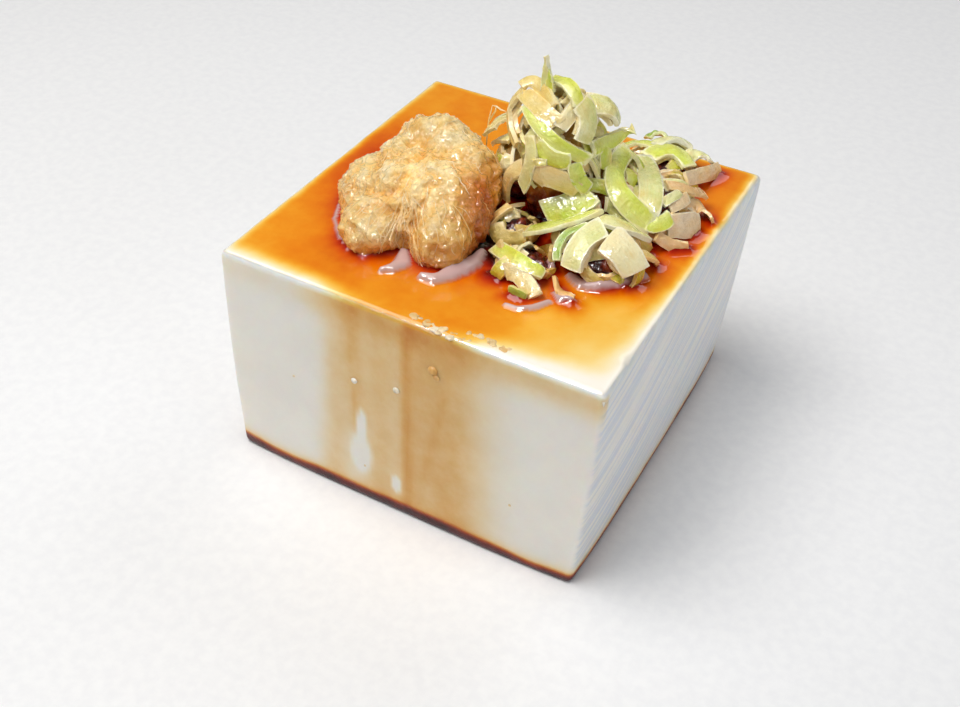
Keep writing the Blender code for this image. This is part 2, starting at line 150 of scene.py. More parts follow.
class NodeTree:
    """Adds nodes to one shader tree and joins them."""

    def __init__(self, tree: bpy.types.NodeTree) -> None:
        """Keep the tree that the nodes go into.

        Args:
            tree: A material's tree or a node group.
        """
        self.tree = tree

    def add(self, kind: str, **settings: object) -> bpy.types.Node:
        """Add a node.

        Args:
            kind: Name of the node type.
            settings: Values of the node's own properties.

        Returns:
            The new node.
        """
        node = self.tree.nodes.new(kind)
        for name, value in settings.items():
            setattr(node, name, value)
        return node

    def feed(self, target: bpy.types.NodeSocket, value: object) -> None:
        """Join a socket to the target, or set the target's own value.

        Args:
            target: Socket that is fed.
            value: An output socket, a number or a colour.
        """
        if isinstance(value, bpy.types.NodeSocket):
            self.tree.links.new(value, target)
        else:
            target.default_value = value

    def math(self, operation: str, *values: object) -> bpy.types.NodeSocket:
        """Add a Math node.

        Args:
            operation: Name of the operation.
            values: Numbers or sockets for its inputs, in order.

        Returns:
            The result's socket.
        """
        node = self.add("ShaderNodeMath", operation=operation)
        for target, value in zip(node.inputs, values):
            self.feed(target, value)
        return node.outputs[0]

    def blend(self, share: object, first: object, second: object) -> bpy.types.NodeSocket:
        """Mix two colours.

        Args:
            share: 0 gives the first colour and 1 the second.
            first: Colour or socket.
            second: Colour or socket.

        Returns:
            The mixed colour's socket.
        """
        node = self.add("ShaderNodeMix", data_type="RGBA")
        self.feed(node.inputs[0], share)
        self.feed(node.inputs[6], first)
        self.feed(node.inputs[7], second)
        return node.outputs[2]

    def spread(self, value: object, low: float, high: float,
               to_low: float, to_high: float) -> bpy.types.NodeSocket:
        """Map a value smoothly from one range to another.

        Args:
            value: Socket that is mapped.
            low: Start of its range.
            high: End of its range.
            to_low: What the start becomes.
            to_high: What the end becomes.

        Returns:
            The mapped value's socket.
        """
        node = self.add("ShaderNodeMapRange", interpolation_type="SMOOTHSTEP")
        for index, number in enumerate((value, low, high, to_low, to_high)):
            self.feed(node.inputs[index], number)
        return node.outputs[0]

    def attribute(self, name: str) -> bpy.types.NodeSocket:
        """Return the number that the mesh holds under a name."""
        return self.add("ShaderNodeAttribute", attribute_name=name).outputs["Fac"]

    def own_place(self) -> bpy.types.NodeSocket:
        """Return the place of a point in its piece's own coordinates."""
        return self.add("ShaderNodeTexCoord").outputs["Object"]

    def waves(self, place: bpy.types.NodeSocket, scale: object, detail: float,
              roughness: float = 0.5) -> bpy.types.NodeSocket:
        """Add a random wavy pattern.

        Args:
            place: Socket with the point that it is read at.
            scale: How many waves there are to a unit.
            detail: How many finer layers it has.
            roughness: How strong each finer layer is against the one before.

        Returns:
            Socket with the pattern, about 0.5 in the middle.
        """
        node = self.add("ShaderNodeTexNoise")
        for name, value in (("Vector", place), ("Scale", scale), ("Detail", detail),
                            ("Roughness", roughness)):
            self.feed(node.inputs[name], value)
        return node.outputs[0]

    def effect(self, group: bpy.types.NodeTree, **values: object) -> bpy.types.NodeSocket:
        """Place a shared effect.

        Args:
            group: The effect's node group.
            values: Numbers, colours or sockets for its inputs, by name.

        Returns:
            The effect's first output.
        """
        node = self.add("ShaderNodeGroup", node_tree=group)
        for name, value in values.items():
            self.feed(node.inputs[name], value)
        return node.outputs[0]


class SharedEffects:
    """The shader groups that several finishes use."""

    def __init__(self) -> None:
        """Build both groups once."""
        self.soy_tint = self.build_soy_tint()
        self.mottle = self.build_mottle()

    @staticmethod
    def start(name: str, inputs: dict[str, str], output: tuple[str, str]) -> NodeTree:
        """Start a shader group with its sockets.

        Args:
            name: Name of the group.
            inputs: Socket type of each input, by name.
            output: Name and socket type of the output.

        Returns:
            The group's tree, ready for nodes.
        """
        group = bpy.data.node_groups.new(name, "ShaderNodeTree")
        for socket, kind in inputs.items():
            group.interface.new_socket(socket, in_out="INPUT", socket_type=kind)
        group.interface.new_socket(output[0], in_out="OUTPUT", socket_type=output[1])
        return NodeTree(group)

    def build_soy_tint(self) -> bpy.types.NodeTree:
        """Build the effect of soy sauce on a colour, which darkens it with the sauce's depth.

        Returns:
            Group with the inputs Color, Depth and Absorb.
        """
        inputs = {"Color": "NodeSocketColor", "Depth": "NodeSocketFloat",
                  "Absorb": "NodeSocketVector"}
        nodes = self.start("soy_tint", inputs, ("Color", "NodeSocketColor"))
        source = nodes.add("NodeGroupInput")
        depth = nodes.math("MAXIMUM", source.outputs["Depth"], 0.0)
        split = nodes.add("ShaderNodeSeparateXYZ")
        nodes.feed(split.inputs[0], source.outputs["Absorb"])
        growing = nodes.math("MULTIPLY", nodes.math("MULTIPLY", depth, depth), DARKENING)
        joined = nodes.add("ShaderNodeCombineXYZ")
        for channel in range(3):
            loss = nodes.math("MULTIPLY_ADD", split.outputs[channel], depth, growing)
            left = nodes.math("EXPONENT", nodes.math("MULTIPLY", loss, -1.0))
            nodes.feed(joined.inputs[channel], left)
        result = nodes.add("ShaderNodeVectorMath", operation="MULTIPLY")
        nodes.feed(result.inputs[0], source.outputs["Color"])
        nodes.feed(result.inputs[1], joined.outputs[0])
        nodes.feed(nodes.add("NodeGroupOutput").inputs[0], result.outputs[0])
        return nodes.tree

    def build_mottle(self) -> bpy.types.NodeTree:
        """Build soft uneven patches on the object's own coordinates.

        Returns:
            Group with the inputs Scale, Low and High.
        """
        inputs = {"Scale": "NodeSocketFloat", "Low": "NodeSocketFloat",
                  "High": "NodeSocketFloat"}
        nodes = self.start("mottle", inputs, ("Value", "NodeSocketFloat"))
        source = nodes.add("NodeGroupInput")
        patches = nodes.waves(nodes.own_place(), source.outputs["Scale"], 4.0, 0.6)
        value = nodes.spread(patches, 0.3, 0.7, 0.0, 1.0)
        span = nodes.math("SUBTRACT", source.outputs["High"], source.outputs["Low"])
        shifted = nodes.math("MULTIPLY_ADD", value, span, source.outputs["Low"])
        nodes.feed(nodes.add("NodeGroupOutput").inputs[0], shifted)
        return nodes.tree


EFFECTS = SharedEffects()
SOY_IN_FILM = (0.08, 1.0, 4.1)   # how strongly the sauce takes red, green and blue, as a film
SOY_IN_FOOD = (0.20, 1.0, 2.7)   # and where the food has soaked it up


class Finish:
    """A material under construction, round its Principled shader."""

    def __init__(self, name: str) -> None:
        """Start a material.

        Args:
            name: The material's name.
        """
        self.material = bpy.data.materials.new(name)
        self.material.use_nodes = True
        self.nodes = NodeTree(self.material.node_tree)
        self.shader = self.material.node_tree.nodes["Principled BSDF"]

    def put(self, **values: object) -> None:
        """Set or feed sockets of the shader, named with _ for each space.

        Args:
            values: Numbers, colours or sockets, by the shader's socket name.
        """
        for name, value in values.items():
            self.nodes.feed(self.shader.inputs[name.replace("_", " ")], value)

    def mottle(self, scale: float, low: float = 0.0, high: float = 1.0) -> bpy.types.NodeSocket:
        """Return soft uneven patches between two values.

        Args:
            scale: How many patches there are to a metre.
            low: The lower value.
            high: The higher value.

        Returns:
            Socket with the patches.
        """
        return self.nodes.effect(EFFECTS.mottle, Scale=scale, Low=low, High=high)

    def stained(self, colour: object, depth: bpy.types.NodeSocket,
                absorb: tuple[float, float, float]) -> bpy.types.NodeSocket:
        """Return a colour with soy sauce over it.

        Args:
            colour: Colour or socket.
            depth: Depth of the sauce.
            absorb: How strongly the sauce takes red, green and blue.

        Returns:
            Socket with the stained colour.
        """
        return self.nodes.effect(EFFECTS.soy_tint, Color=colour, Depth=depth, Absorb=absorb)

    def bump(self, height: bpy.types.NodeSocket, depth: float) -> None:
        """Give the surface a fine relief.

        Args:
            height: Socket with the relief, from 0 to 1.
            depth: What 1 stands for, in metres.
        """
        node = self.nodes.add("ShaderNodeBump")
        node.inputs["Strength"].default_value = 1.0
        node.inputs["Distance"].default_value = depth
        self.nodes.feed(node.inputs["Height"], height)
        self.put(Normal=node.outputs[0], Coat_Normal=node.outputs[0])

    def wet(self, scale: float, depth: float, roughness: float, weight: float = 1.0) -> None:
        """Cover the surface with a clear wet coat that has smooth swells of its own.

        Args:
            scale: How many swells there are to a metre.
            depth: How deep they are, in metres.
            roughness: Roughness of the coat.
            weight: How much of the coat there is.
        """
        swells = self.nodes.waves(self.nodes.own_place(), scale, 0.0)
        node = self.nodes.add("ShaderNodeBump")
        node.inputs["Distance"].default_value = depth
        self.nodes.feed(node.inputs["Height"], swells)
        self.put(Coat_Weight=weight, Coat_Roughness=roughness, Coat_Normal=node.outputs[0])

    def glow(self, weight: float, scale: float, radius: tuple[float, float, float],
             method: str = "RANDOM_WALK") -> None:
        """Let light pass under the surface.

        Args:
            weight: Share of the light that does.
            scale: How far it goes, in metres.
            radius: Share of that for red, green and blue.
            method: Name of the way that it is worked out.
        """
        self.shader.subsurface_method = method
        self.put(Subsurface_Weight=weight, Subsurface_Scale=scale)
        self.shader.inputs["Subsurface Radius"].default_value = radius


@dataclass(frozen=True)
class TofuFinish:
    """Silken tofu, cream white, stained where the sauce ran over it."""

    name: str = "tofu_cream"
    glow_reach: float = 3.6 * MM
    glow_method: str = "RANDOM_WALK"
    cream: Colour = paint(245, 241, 232)
    shade: Colour = paint(240, 236, 228)
    # painted shade in the knife arcs, tinted cool as a painted reflection
    arc_shade_and_reflection: Colour = paint(219, 222, 227)
    patch_scale: float = 60.0
    grain_scale: float = 900.0
    grain_depth: float = 0.05 * MM
    streak_scale: float = 850.0
    streak_share: float = 3.2        # depth of the arcs against that of the grain
    streak_stretch: float = 40.0     # how much longer than wide the arcs are
    streak_detail: float = 0.6
    arc_slope: float = 0.38
    arc_bend: float = 3.0
    dry_roughness: float = 0.42
    wet_roughness: float = 0.36
    coat: float = 0.1
    coat_roughness: float = 0.3

    def build(self) -> bpy.types.Material:
        """Build the material, which reads the mesh's soak and cut attributes."""
        finish = Finish(self.name)
        nodes = finish.nodes
        patches = finish.mottle(self.patch_scale)
        streaks = self.build_streaks(nodes)
        body = nodes.blend(patches, self.cream, self.shade)
        # the knife arcs on the side faces get painted shade and a painted cool reflection
        body = nodes.blend(streaks, body, self.arc_shade_and_reflection)
        uneven = finish.mottle(4 * self.patch_scale, 0.88, 1.12)
        soak_and_shade = nodes.math("MULTIPLY", nodes.attribute("soak_and_shade"), uneven)
        body = finish.stained(body, soak_and_shade, SOY_IN_FOOD)
        finish.put(Base_Color=finish.stained(body, nodes.attribute("film"), SOY_IN_FILM))
        wet = finish.mottle(3 * self.patch_scale, self.wet_roughness, self.dry_roughness)
        finish.put(Roughness=wet, IOR=1.38, Coat_Weight=self.coat,
                   Coat_Roughness=self.coat_roughness)
        finish.glow(0.9, self.glow_reach, (1.0, 0.72, 0.5), self.glow_method)
        grain = finish.mottle(self.grain_scale)
        finish.bump(nodes.math("MULTIPLY_ADD", streaks, -self.streak_share, grain),
                    self.grain_depth)
        return finish.material

    def build_streaks(self, nodes: NodeTree) -> bpy.types.NodeSocket:
        """Return the fine arcs that the knife left on the cut sides.

        Args:
            nodes: The material's tree.

        Returns:
            Socket with the arcs, 0 between them and 1 at their deepest.
        """
        split = nodes.add("ShaderNodeSeparateXYZ")
        nodes.feed(split.inputs[0], nodes.own_place())
        y, z = split.outputs[1], split.outputs[2]
        fall = nodes.math("MULTIPLY_ADD", nodes.math("MULTIPLY", y, y), self.arc_bend,
                          nodes.math("MULTIPLY", y, self.arc_slope))
        course = nodes.add("ShaderNodeCombineXYZ")
        across = nodes.math("SUBTRACT", z, fall)
        nodes.feed(course.inputs[0], nodes.math("MULTIPLY", across, self.streak_scale))
        slow = self.streak_scale / self.streak_stretch
        nodes.feed(course.inputs[1], nodes.math("MULTIPLY", y, slow))
        lines = nodes.waves(course.outputs[0], 1.0, self.streak_detail)
        value = nodes.spread(lines, 0.35, 0.65, 0.0, 1.0)
        return nodes.math("MULTIPLY", value, nodes.attribute("cut"))


@dataclass(frozen=True)
class SauceFinish:
    """A film of soy sauce over the tofu: orange where thin and nearly black where deep."""

    under: Colour = paint(255, 249, 236)
    # pale pink of the tongues: milky juice, and a painted reflection of a soft light
    milk_and_reflection: Colour = paint(204, 180, 178)
    roughness: float = 0.12
    uneven_scale: float = 150.0
    ripple_scale: float = 110.0
    ripple_depth: float = 0.015 * MM

    def build(self) -> bpy.types.Material:
        """Build the material, which reads the mesh's depth attribute and its share of pale milk
        and painted reflection.
        """
        finish = Finish("soy_film")
        nodes = finish.nodes
        uneven = finish.mottle(self.uneven_scale, 0.9, 1.12)
        depth = nodes.math("MULTIPLY", nodes.attribute("depth"), uneven)
        sauce = finish.stained(self.under, depth, SOY_IN_FILM)
        finish.put(Base_Color=nodes.blend(nodes.attribute("milk_and_reflection_share"), sauce, self.milk_and_reflection))
        finish.put(Roughness=self.roughness, IOR=1.37, Coat_Weight=1.0, Coat_Roughness=0.02,
                   Coat_IOR=1.4, Specular_IOR_Level=0.12)
        finish.bump(finish.mottle(self.ripple_scale), self.ripple_depth)
        return finish.material


@dataclass(frozen=True)
class GingerFinish:
    """Wet grated ginger, pale on its grains and darker in the creases between them, from soy and
    from painted shade.
    """

    name: str = "ginger_pulp"
    pale: Colour = paint(255, 240, 192)
    warm: Colour = paint(255, 224, 148)
    grain_scale: float = 1500.0
    grain_depth: float = 0.26 * MM
    glow_reach: float = 1.5 * MM
    patch_scale: float = 260.0
    gloss_scale: float = 900.0

    def build(self) -> bpy.types.Material:
        """Build the material, which reads the mesh's soak attribute."""
        finish = Finish(self.name)
        nodes = finish.nodes
        body = nodes.blend(finish.mottle(self.patch_scale), self.pale, self.warm)
        finish.put(Base_Color=finish.stained(body, nodes.attribute("soak_and_shade"), SOY_IN_FOOD))
        finish.put(Roughness=finish.mottle(self.gloss_scale, 0.08, 0.24), IOR=1.4)
        finish.glow(0.8, self.glow_reach, (1.0, 0.75, 0.5), "BURLEY")
        grain = finish.mottle(self.grain_scale)
        finish.bump(grain, self.grain_depth)
        finish.wet(1300.0, 0.55 * MM, 0.03)
        return finish.material


@dataclass(frozen=True)
class OnionFinish:
    """Sliced spring onion: its outer skin, its inner skin and its cut faces, whose pale colour
    also runs along the skin's border as a painted rim highlight.
    """

    name: str
    skin: Colour
    skin_dark: Colour
    inner: Colour
    cut: Colour
    gloss: float = 0.14
    patch_scale: float = 420.0
    gloss_scale: float = 700.0
    cell_scale: float = 1500.0
    cell_depth: float = 0.09 * MM

    def build(self) -> bpy.types.Material:
        """Build the material, which reads the slices' attributes."""
        finish = Finish(self.name)
        nodes = finish.nodes
        tone = nodes.math("MULTIPLY", finish.mottle(self.patch_scale), nodes.attribute("tone"))
        outer = nodes.blend(tone, self.skin, self.skin_dark)
        across = nodes.spread(nodes.attribute("side"), -0.3, 0.5, 0.0, 1.0)
        outer = nodes.blend(nodes.math("MULTIPLY", across, 0.5), outer, self.inner)
        layer = nodes.spread(nodes.attribute("layer"), 0.25, 0.75, 0.0, 1.0)
        wall = nodes.blend(layer, self.inner, outer)
        # pale cut colour on the cut faces, widened onto the skin's border as a painted rim
        # highlight
        edge = nodes.spread(nodes.attribute("edge"), 0.84, 0.96, 0.0, 1.0)
        body = nodes.blend(edge, wall, self.cut)
        veins = self.build_veins(nodes)
        streak = nodes.spread(veins, 0.35, 0.6, 0.05, 0.0)
        soak_and_shade = nodes.math("ADD", nodes.attribute("soak_and_shade"), streak)
        finish.put(Base_Color=finish.stained(body, soak_and_shade, SOY_IN_FOOD))
        rough = finish.mottle(self.gloss_scale, self.gloss, 2.4 * self.gloss)
        finish.put(Roughness=rough, IOR=1.4)
        finish.glow(0.6, 0.5 * MM, (1.0, 0.95, 0.6), "BURLEY")
        relief = nodes.math("ADD", nodes.math("MULTIPLY", veins, 0.6),
                            finish.mottle(self.cell_scale))
        finish.bump(relief, self.cell_depth)
        finish.wet(900.0, 0.2 * MM, 0.07, 0.45)
        return finish.material

    @staticmethod
    def build_veins(nodes: NodeTree) -> bpy.types.NodeSocket:
        """Return fine streaks that run along the slice.

        Args:
            nodes: The material's tree.

        Returns:
            Socket with the streaks, from 0 to 1.
        """
        course = nodes.add("ShaderNodeCombineXYZ")
        for axis, (name, pace) in enumerate((("along", 4.0), ("side", 15.0), ("tone", 40.0))):
            nodes.feed(course.inputs[axis],
                       nodes.math("MULTIPLY", nodes.attribute(name), pace))
        return nodes.waves(course.outputs[0], 1.0, 3.0)


@dataclass(frozen=True)
class FloorFinish:
    """A plain pale floor."""

    pale: Colour = paint(243, 243, 243)
    shade: Colour = paint(238, 238, 239)
    patch_scale: float = 400.0
    roughness: float = 0.7

    def build(self) -> bpy.types.Material:
        """Build the material."""
        finish = Finish("pale_floor")
        patches = finish.mottle(self.patch_scale)
        finish.put(Base_Color=finish.nodes.blend(patches, self.pale, self.shade),
                   Roughness=self.roughness)
        return finish.material


@dataclass(frozen=True)
class Lump:
    """A rounded lump of a topping, with its place and half sizes in millimetres."""

    x: float
    y: float
    z: float
    across: float
    deep: float
    tall: float

    def at(self, outward: Vector) -> Vector:
        """Return the point of the lump's skin in a direction from its middle."""
        return Vector((self.x + outward.x * self.across, self.y + outward.y * self.deep,
                       self.z + outward.z * self.tall))

    def scaled(self, point: Vector) -> Vector:
        """Return a point, in millimetres above the top, in shares of the half sizes."""
        away = point - Vector((self.x, self.y, self.z))
        return Vector((away.x / self.across, away.y / self.deep, away.z / self.tall))

    def outward(self, point: Vector) -> Vector:
        """Return the direction that the lump's surface faces at a point."""
        away = self.scaled(point)
        facing = Vector((away.x / self.across, away.y / self.deep, away.z / self.tall))
        return facing.normalized()

    def reach(self, origin: Vector, direction: Vector) -> float:
        """Return how far a ray goes until it leaves the lump.

        Args:
            origin: Where the ray starts, in millimetres.
            direction: Where it goes.

        Returns:
            The distance in millimetres, or zero where the ray misses.
        """
        start = self.scaled(origin)
        step = Vector((direction.x / self.across, direction.y / self.deep,
                       direction.z / self.tall))
        square = step.dot(step)
        mixed = start.dot(step)
        inside = mixed * mixed - square * (start.dot(start) - 1.0)
        if inside <= 0.0:
            return 0.0
        return max(0.0, (math.sqrt(inside) - mixed) / square)


def pour(part: bmesh.types.BMesh, whole: bmesh.types.BMesh) -> None:
    """Add a small mesh, with its layers, to a larger one.

    Args:
        part: The small mesh, which is used up.
        whole: The mesh that it goes into.
    """
    carrier = bpy.data.meshes.new("carrier")
    part.to_mesh(carrier)
    part.free()
    whole.from_mesh(carrier)
    bpy.data.meshes.remove(carrier)


def finish_piece(name: str, bm: bmesh.types.BMesh, material: bpy.types.Material,
                 stands_for: Optional[str] = None) -> bpy.types.Object:
    """Turn a bmesh into a piece of the food.

    Args:
        name: The piece's name.
        bm: Its mesh, which is used up.
        material: Its finish.
        stands_for: The solid that it replaces, if any.

    Returns:
        The new object.
    """
    mesh = bpy.data.meshes.new(name)
    for face in bm.faces:
        face.smooth = True
    bm.to_mesh(mesh)
    bm.free()
    mesh.materials.append(material)
    piece = bpy.data.objects.new(name, mesh)
    bpy.context.scene.collection.objects.link(piece)
    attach(piece, "root")
    if stands_for:
        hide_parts(stands_for)
    triangles = sum(len(face.vertices) - 2 for face in mesh.polygons)
    LOG.info("%s: %d triangles", name, triangles)
    return piece


@dataclass(frozen=True)
class Run:
    """A run of sauce down a side face, in millimetres along the face and up from the foot."""

    middle: float
    reach: float
    strength: float
    top: float = 60.0
    bottom: float = -10.0
    lean: float = 0.0

    def depth(self, along: float, height: float) -> float:
        """Return the stain of this run at a place on the face."""
        centre = self.middle + self.lean * (height - 25.0)
        fade = ease(height, self.bottom - 3.0, self.bottom + 3.0)
        fade *= 1.0 - ease(height, self.top - 4.0, self.top + 4.0)
        return self.strength * fade * bell(along - centre, self.reach)


@dataclass
class SauceMap:
    """Where the soy sauce lies on the block and how deep, from its place alone."""

    front_runs: tuple[Run, ...] = (
        Run(-13.8, 3.2, 0.28, lean=0.06),
        Run(-9.5, 2.2, 0.26, bottom=19.0),
        Run(-4.5, 5.0, 0.36),
        Run(1.9, 1.1, 0.34),
        Run(3.2, 2.6, 0.18),
        Run(9.8, 8.2, 0.54, lean=-0.04),
        Run(-10.0, 0.35, 0.1, bottom=24.0),
        Run(8.0, 0.8, 0.12, top=38.0, bottom=12.0, lean=0.2),
    )
    clean_isles: tuple[tuple[float, float, float, float], ...] = (
        (-8.6, 12.5, 2.6, 5.6), (-8.3, 20.0, 1.3, 5.0), (-0.6, 8.0, 1.2, 2.6))
    back_runs: tuple[Run, ...] = (Run(-12.0, 5.0, 0.2, bottom=20.0), Run(18.0, 7.0, 0.24))
    waterline: float = 3.0           # top of the stained band round the foot
    face_band: float = 2.5 * MM      # how far a face's own stains reach round its edges
    foot_depth: float = 4.6
    mean_depth: float = 1.12
    foot_pooling_and_reflection: float = 2.8        # how much deeper and darker the film is right at a topping: meniscus, with a painted dark reflection
    gap_pooling: float = 9.0         # and in the narrow gap between the two toppings
    thin_corners: tuple[tuple[float, float, float, float], ...] = (
        (38.0, -37.0, 0.6, 15.0), (-39.0, -39.0, 0.35, 11.0))
    topping_tree: Optional["Toppings"] = None
    low: Vector = field(default_factory=lambda: BLOCK_LOW / MM)
    high: Vector = field(default_factory=lambda: BLOCK_HIGH / MM)

    def wander(self, place: Vector, size: float) -> float:
        """Return a slow wander between about -1 and 1 at a place."""
        return noise.noise(place / (size * MM))

    def side(self, place: Vector) -> float:
        """Return the stain on the block's sides.

        Args:
            place: A point on the skin, in metres.

        Returns:
            Depth of soaked sauce.
        """
        x, z = place.x / MM, place.z / MM
        soak_and_shade = 0.0
        if place.y < BLOCK_LOW.y + self.face_band:
            shift = 0.5 * self.wander(Vector((place.x, 0.0, 0.35 * place.z)), 5.0)
            soak_and_shade += sum(run.depth(x + shift, z) for run in self.front_runs)
            for cx, cz, reach, tall in self.clean_isles:
                distance = math.hypot((x + shift - cx) / reach, (z - cz) / tall)
                soak_and_shade *= ease(distance, 0.75, 1.25)
            soak_and_shade += (0.06 + 0.24 * ease(x, -24.0, -16.0)) * bell(z - 48.0, 3.4)
        elif place.y > BLOCK_HIGH.y - self.face_band:
            soak_and_shade += sum(run.depth(x, z) for run in self.back_runs)
        foot = self.waterline + 0.5 * self.wander(place, 9.0) - 0.7 * ease(x, 18.0, 38.0)
        soak_and_shade += self.foot_depth * (1.0 - ease(z, foot - 1.6, foot + 0.4))
        soak_and_shade += 0.5 * math.exp(-max(0.0, z - foot) / 0.9)
        return soak_and_shade

    def inside(self, place: Vector) -> float:
        """Return how far inside the film's border a point on the top lies.

        Args:
            place: A point on the top, in metres.

        Returns:
            0 at the border and 1 where the film has its whole depth.
        """
        x, y = place.x / MM, place.y / MM
        wander = 0.3 * self.wander(place, 4.0) + 0.2 * self.wander(place, 1.5)
        spill = ease(x, -19.0, -4.0) * (1.0 - ease(x, 6.0, 19.0))
        corner = ease(x, 9.0, 34.0)
        near = ease(-y, 0.0, 34.0)
        gaps = (x - self.low.x, self.high.x - x, self.high.y - y, y - self.low.y)
        borders = ((0.1, 2.9), (0.1 + 0.2 * near, 3.2 + 3.2 * near), (0.1, 2.4),
                   (0.3 - 6.3 * spill + 1.9 * corner, 5.2 + 4.8 * spill))
        share = 1.0
        for gap, (border, fade) in zip(gaps, borders):
            share *= ease(gap + wander, border, border + fade)
        return share

    def near_topping(self, place: Vector) -> float:
        """Return the distance in millimetres to the nearest topping, or a large one."""
        if self.topping_tree is None:
            return FAR_AWAY
        found = self.topping_tree.find_nearest(place)
        return found[3] / MM if found[0] is not None else FAR_AWAY

    def film(self, place: Vector) -> float:
        """Return the depth of the sauce on the top.

        Args:
            place: A point on the top, in metres.

        Returns:
            Depth that tints, where 1 is full orange.
        """
        x, y = place.x / MM, place.y / MM
        away = self.near_topping(place)
        depth = self.mean_depth
        depth += 0.18 * self.wander(place, 22.0) + 0.1 * self.wander(place, 7.0)
        depth -= 0.38 * ease(x, 6.0, 26.0) * ease(-y, 2.0, 22.0)
        # the dark band at a topping's foot: deeper sauce at the meniscus, with a painted dark
        # reflection of the topping
        depth += self.foot_pooling_and_reflection * math.exp(-away / 1.0) + 0.55 * math.exp(-away / 3.0)
        depth += 1.1 * bell(x + 31.0, 7.0) * bell(y - 4.0, 14.0)
        for corner_x, corner_y, thinning, reach in self.thin_corners:
            depth *= 1.0 - thinning * bell(math.hypot(x - corner_x, y - corner_y), reach)
        between = bell(x - 4.5, 6.0) * bell(y + 9.0, 11.0)
        depth += self.gap_pooling * between * math.exp(-away / 2.2)
        return depth * self.inside(place)


@dataclass
class TofuBlock:
    """The soft block: a rounded box with a fine skin and the stains on it."""

    width: float = 79.0 * MM
    depth: float = 81.0 * MM
    height: float = 50.0 * MM
    top_widening: float = 0.9 * MM
    top_narrowing: float = 0.65 * MM
    lean: Vector = field(default_factory=lambda: Vector((1.1, 0.5)) * MM)
    edge_radius: float = 1.2 * MM
    edge_segments: int = 4
    face_cuts: int = 95
    foot_pull: float = 0.02
    foot_pull_power: int = 4
    barrel: float = 0.3 * MM
    wave: float = 0.12 * MM
    wave_length: float = 18.0 * MM
    flat_foot_share: float = 0.25
    least_top_tilt: float = 0.4      # how far up the skin faces where the top begins
    nick: Vector = field(default_factory=lambda: Vector((40.4, -29.0, 50.0)) * MM)
    nick_depth: float = 0.9 * MM
    nick_reach: float = 1.3 * MM
    sway_length: float = 7.0 * MM
    fine_length: float = 1.7 * MM
    smooth_foot: float = 4.0 * MM    # height below which the skin's relief fades out
    tree: Optional[BVHTree] = None

    def skin_point(self, point: Vector) -> Vector:
        """Move a point of the plain box to where the soft block has it.

        Args:
            point: Point of the plain box, in metres.

        Returns:
            The moved point.
        """
        rise = point.z / self.height
        across = point.x / (self.width / 2)
        deep = point.y / (self.depth / 2)
        pull = 1.0 - self.foot_pull * (1.0 - rise) * (across * deep) ** self.foot_pull_power
        swell = self.barrel * math.sin(math.pi * rise)
        half_width = (self.width + self.top_widening * rise) / 2 + swell
        half_depth = (self.depth - self.top_narrowing * rise) / 2 + swell
        wave = self.wave * noise.noise(point / self.wave_length)
        wave *= min(1.0, rise / self.flat_foot_share)
        return Vector((across * half_width * pull + self.lean.x * rise + wave,
                       deep * half_depth * pull + self.lean.y * rise - wave,
                       point.z + wave))

    def relief(self, place: Vector) -> float:
        """Return how far the fine skin lies out from the soft block.

        Args:
            place: A point on the skin, in metres.

        Returns:
            The offset in metres.
        """
        sway = 0.09 * noise.noise(place / self.sway_length) * MM
        fine = 0.03 * noise.noise(place / self.fine_length) * MM
        rise = min(1.0, place.z / self.smooth_foot)
        return rise * (0.6 * sway + fine)

    def skin_below(self, x: float, y: float) -> Optional[Vector]:
        """Return the skin's point under a place over the top, or None beside the block."""
        return self.tree.ray_cast(Vector((x, y, TOP_Z + ABOVE)), -UP)[0]

    def build_skin(self) -> bmesh.types.BMesh:
        """Return the block's mesh, middled over its foot, with its relief."""
        bm = bmesh.new()
        size = Matrix.Diagonal((self.width, self.depth, self.height, 1.0))
        lift = Matrix.Translation((0.0, 0.0, self.height / 2))
        bmesh.ops.create_cube(bm, size=1.0, matrix=lift @ size)
        bmesh.ops.bevel(bm, geom=bm.edges[:], offset=self.edge_radius, offset_type="OFFSET",
                        segments=self.edge_segments, profile=0.5, affect="EDGES", material=-1)
        long_edges = [edge for edge in bm.edges if edge.calc_length() > 4 * self.edge_radius]
        bmesh.ops.subdivide_edges(bm, edges=long_edges, cuts=self.face_cuts,
                                  use_grid_fill=True)
        for vert in bm.verts:
            vert.co = self.skin_point(vert.co)
        low = Vector([min(vert.co[axis] for vert in bm.verts) for axis in range(3)])
        high = Vector([max(vert.co[axis] for vert in bm.verts) for axis in range(3)])
        middle = (low + high) / 2
        bmesh.ops.translate(bm, verts=bm.verts, vec=(-middle.x, -middle.y, -low.z))
        bm.normal_update()
        moves = []
        for vert in bm.verts:
            dent = self.nick_depth * bell((vert.co - self.nick).length, self.nick_reach)
            moves.append(vert.normal * (self.relief(vert.co) - dent))
        for vert, move in zip(bm.verts, moves):
            vert.co += move
        bm.normal_update()
        return bm

    def build(self, sauce: SauceMap) -> bpy.types.Object:
        """Build the block with its stains.

        Args:
            sauce: Where the sauce lies. It is told where the top's edges are.

        Returns:
            The block's piece.
        """
        bm = self.build_skin()
        self.tree = BVHTree.FromBMesh(bm)
        top = [vert.co / MM for vert in bm.verts if vert.normal.z > self.least_top_tilt]
        sauce.low = Vector([min(place[axis] for place in top) for axis in range(3)])
        sauce.high = Vector([max(place[axis] for place in top) for axis in range(3)])
        layers = add_layers(bm, ("soak_and_shade", "film", "cut"))
        for vert in bm.verts:
            up = ease(vert.normal.z, 0.1, 0.7)
            # the side faces that show the knife arcs, with their painted shade and cool
            # reflection
            vert[layers["cut"]] = abs(vert.normal.x) ** 4
            vert[layers["soak_and_shade"]] = (1.0 - up) * sauce.side(vert.co)
            if up > 0.0:
                vert[layers["film"]] = up * sauce.film(vert.co)
        return finish_piece("tofu_block_soft", bm, TofuFinish().build(),
                            "tofu_block")


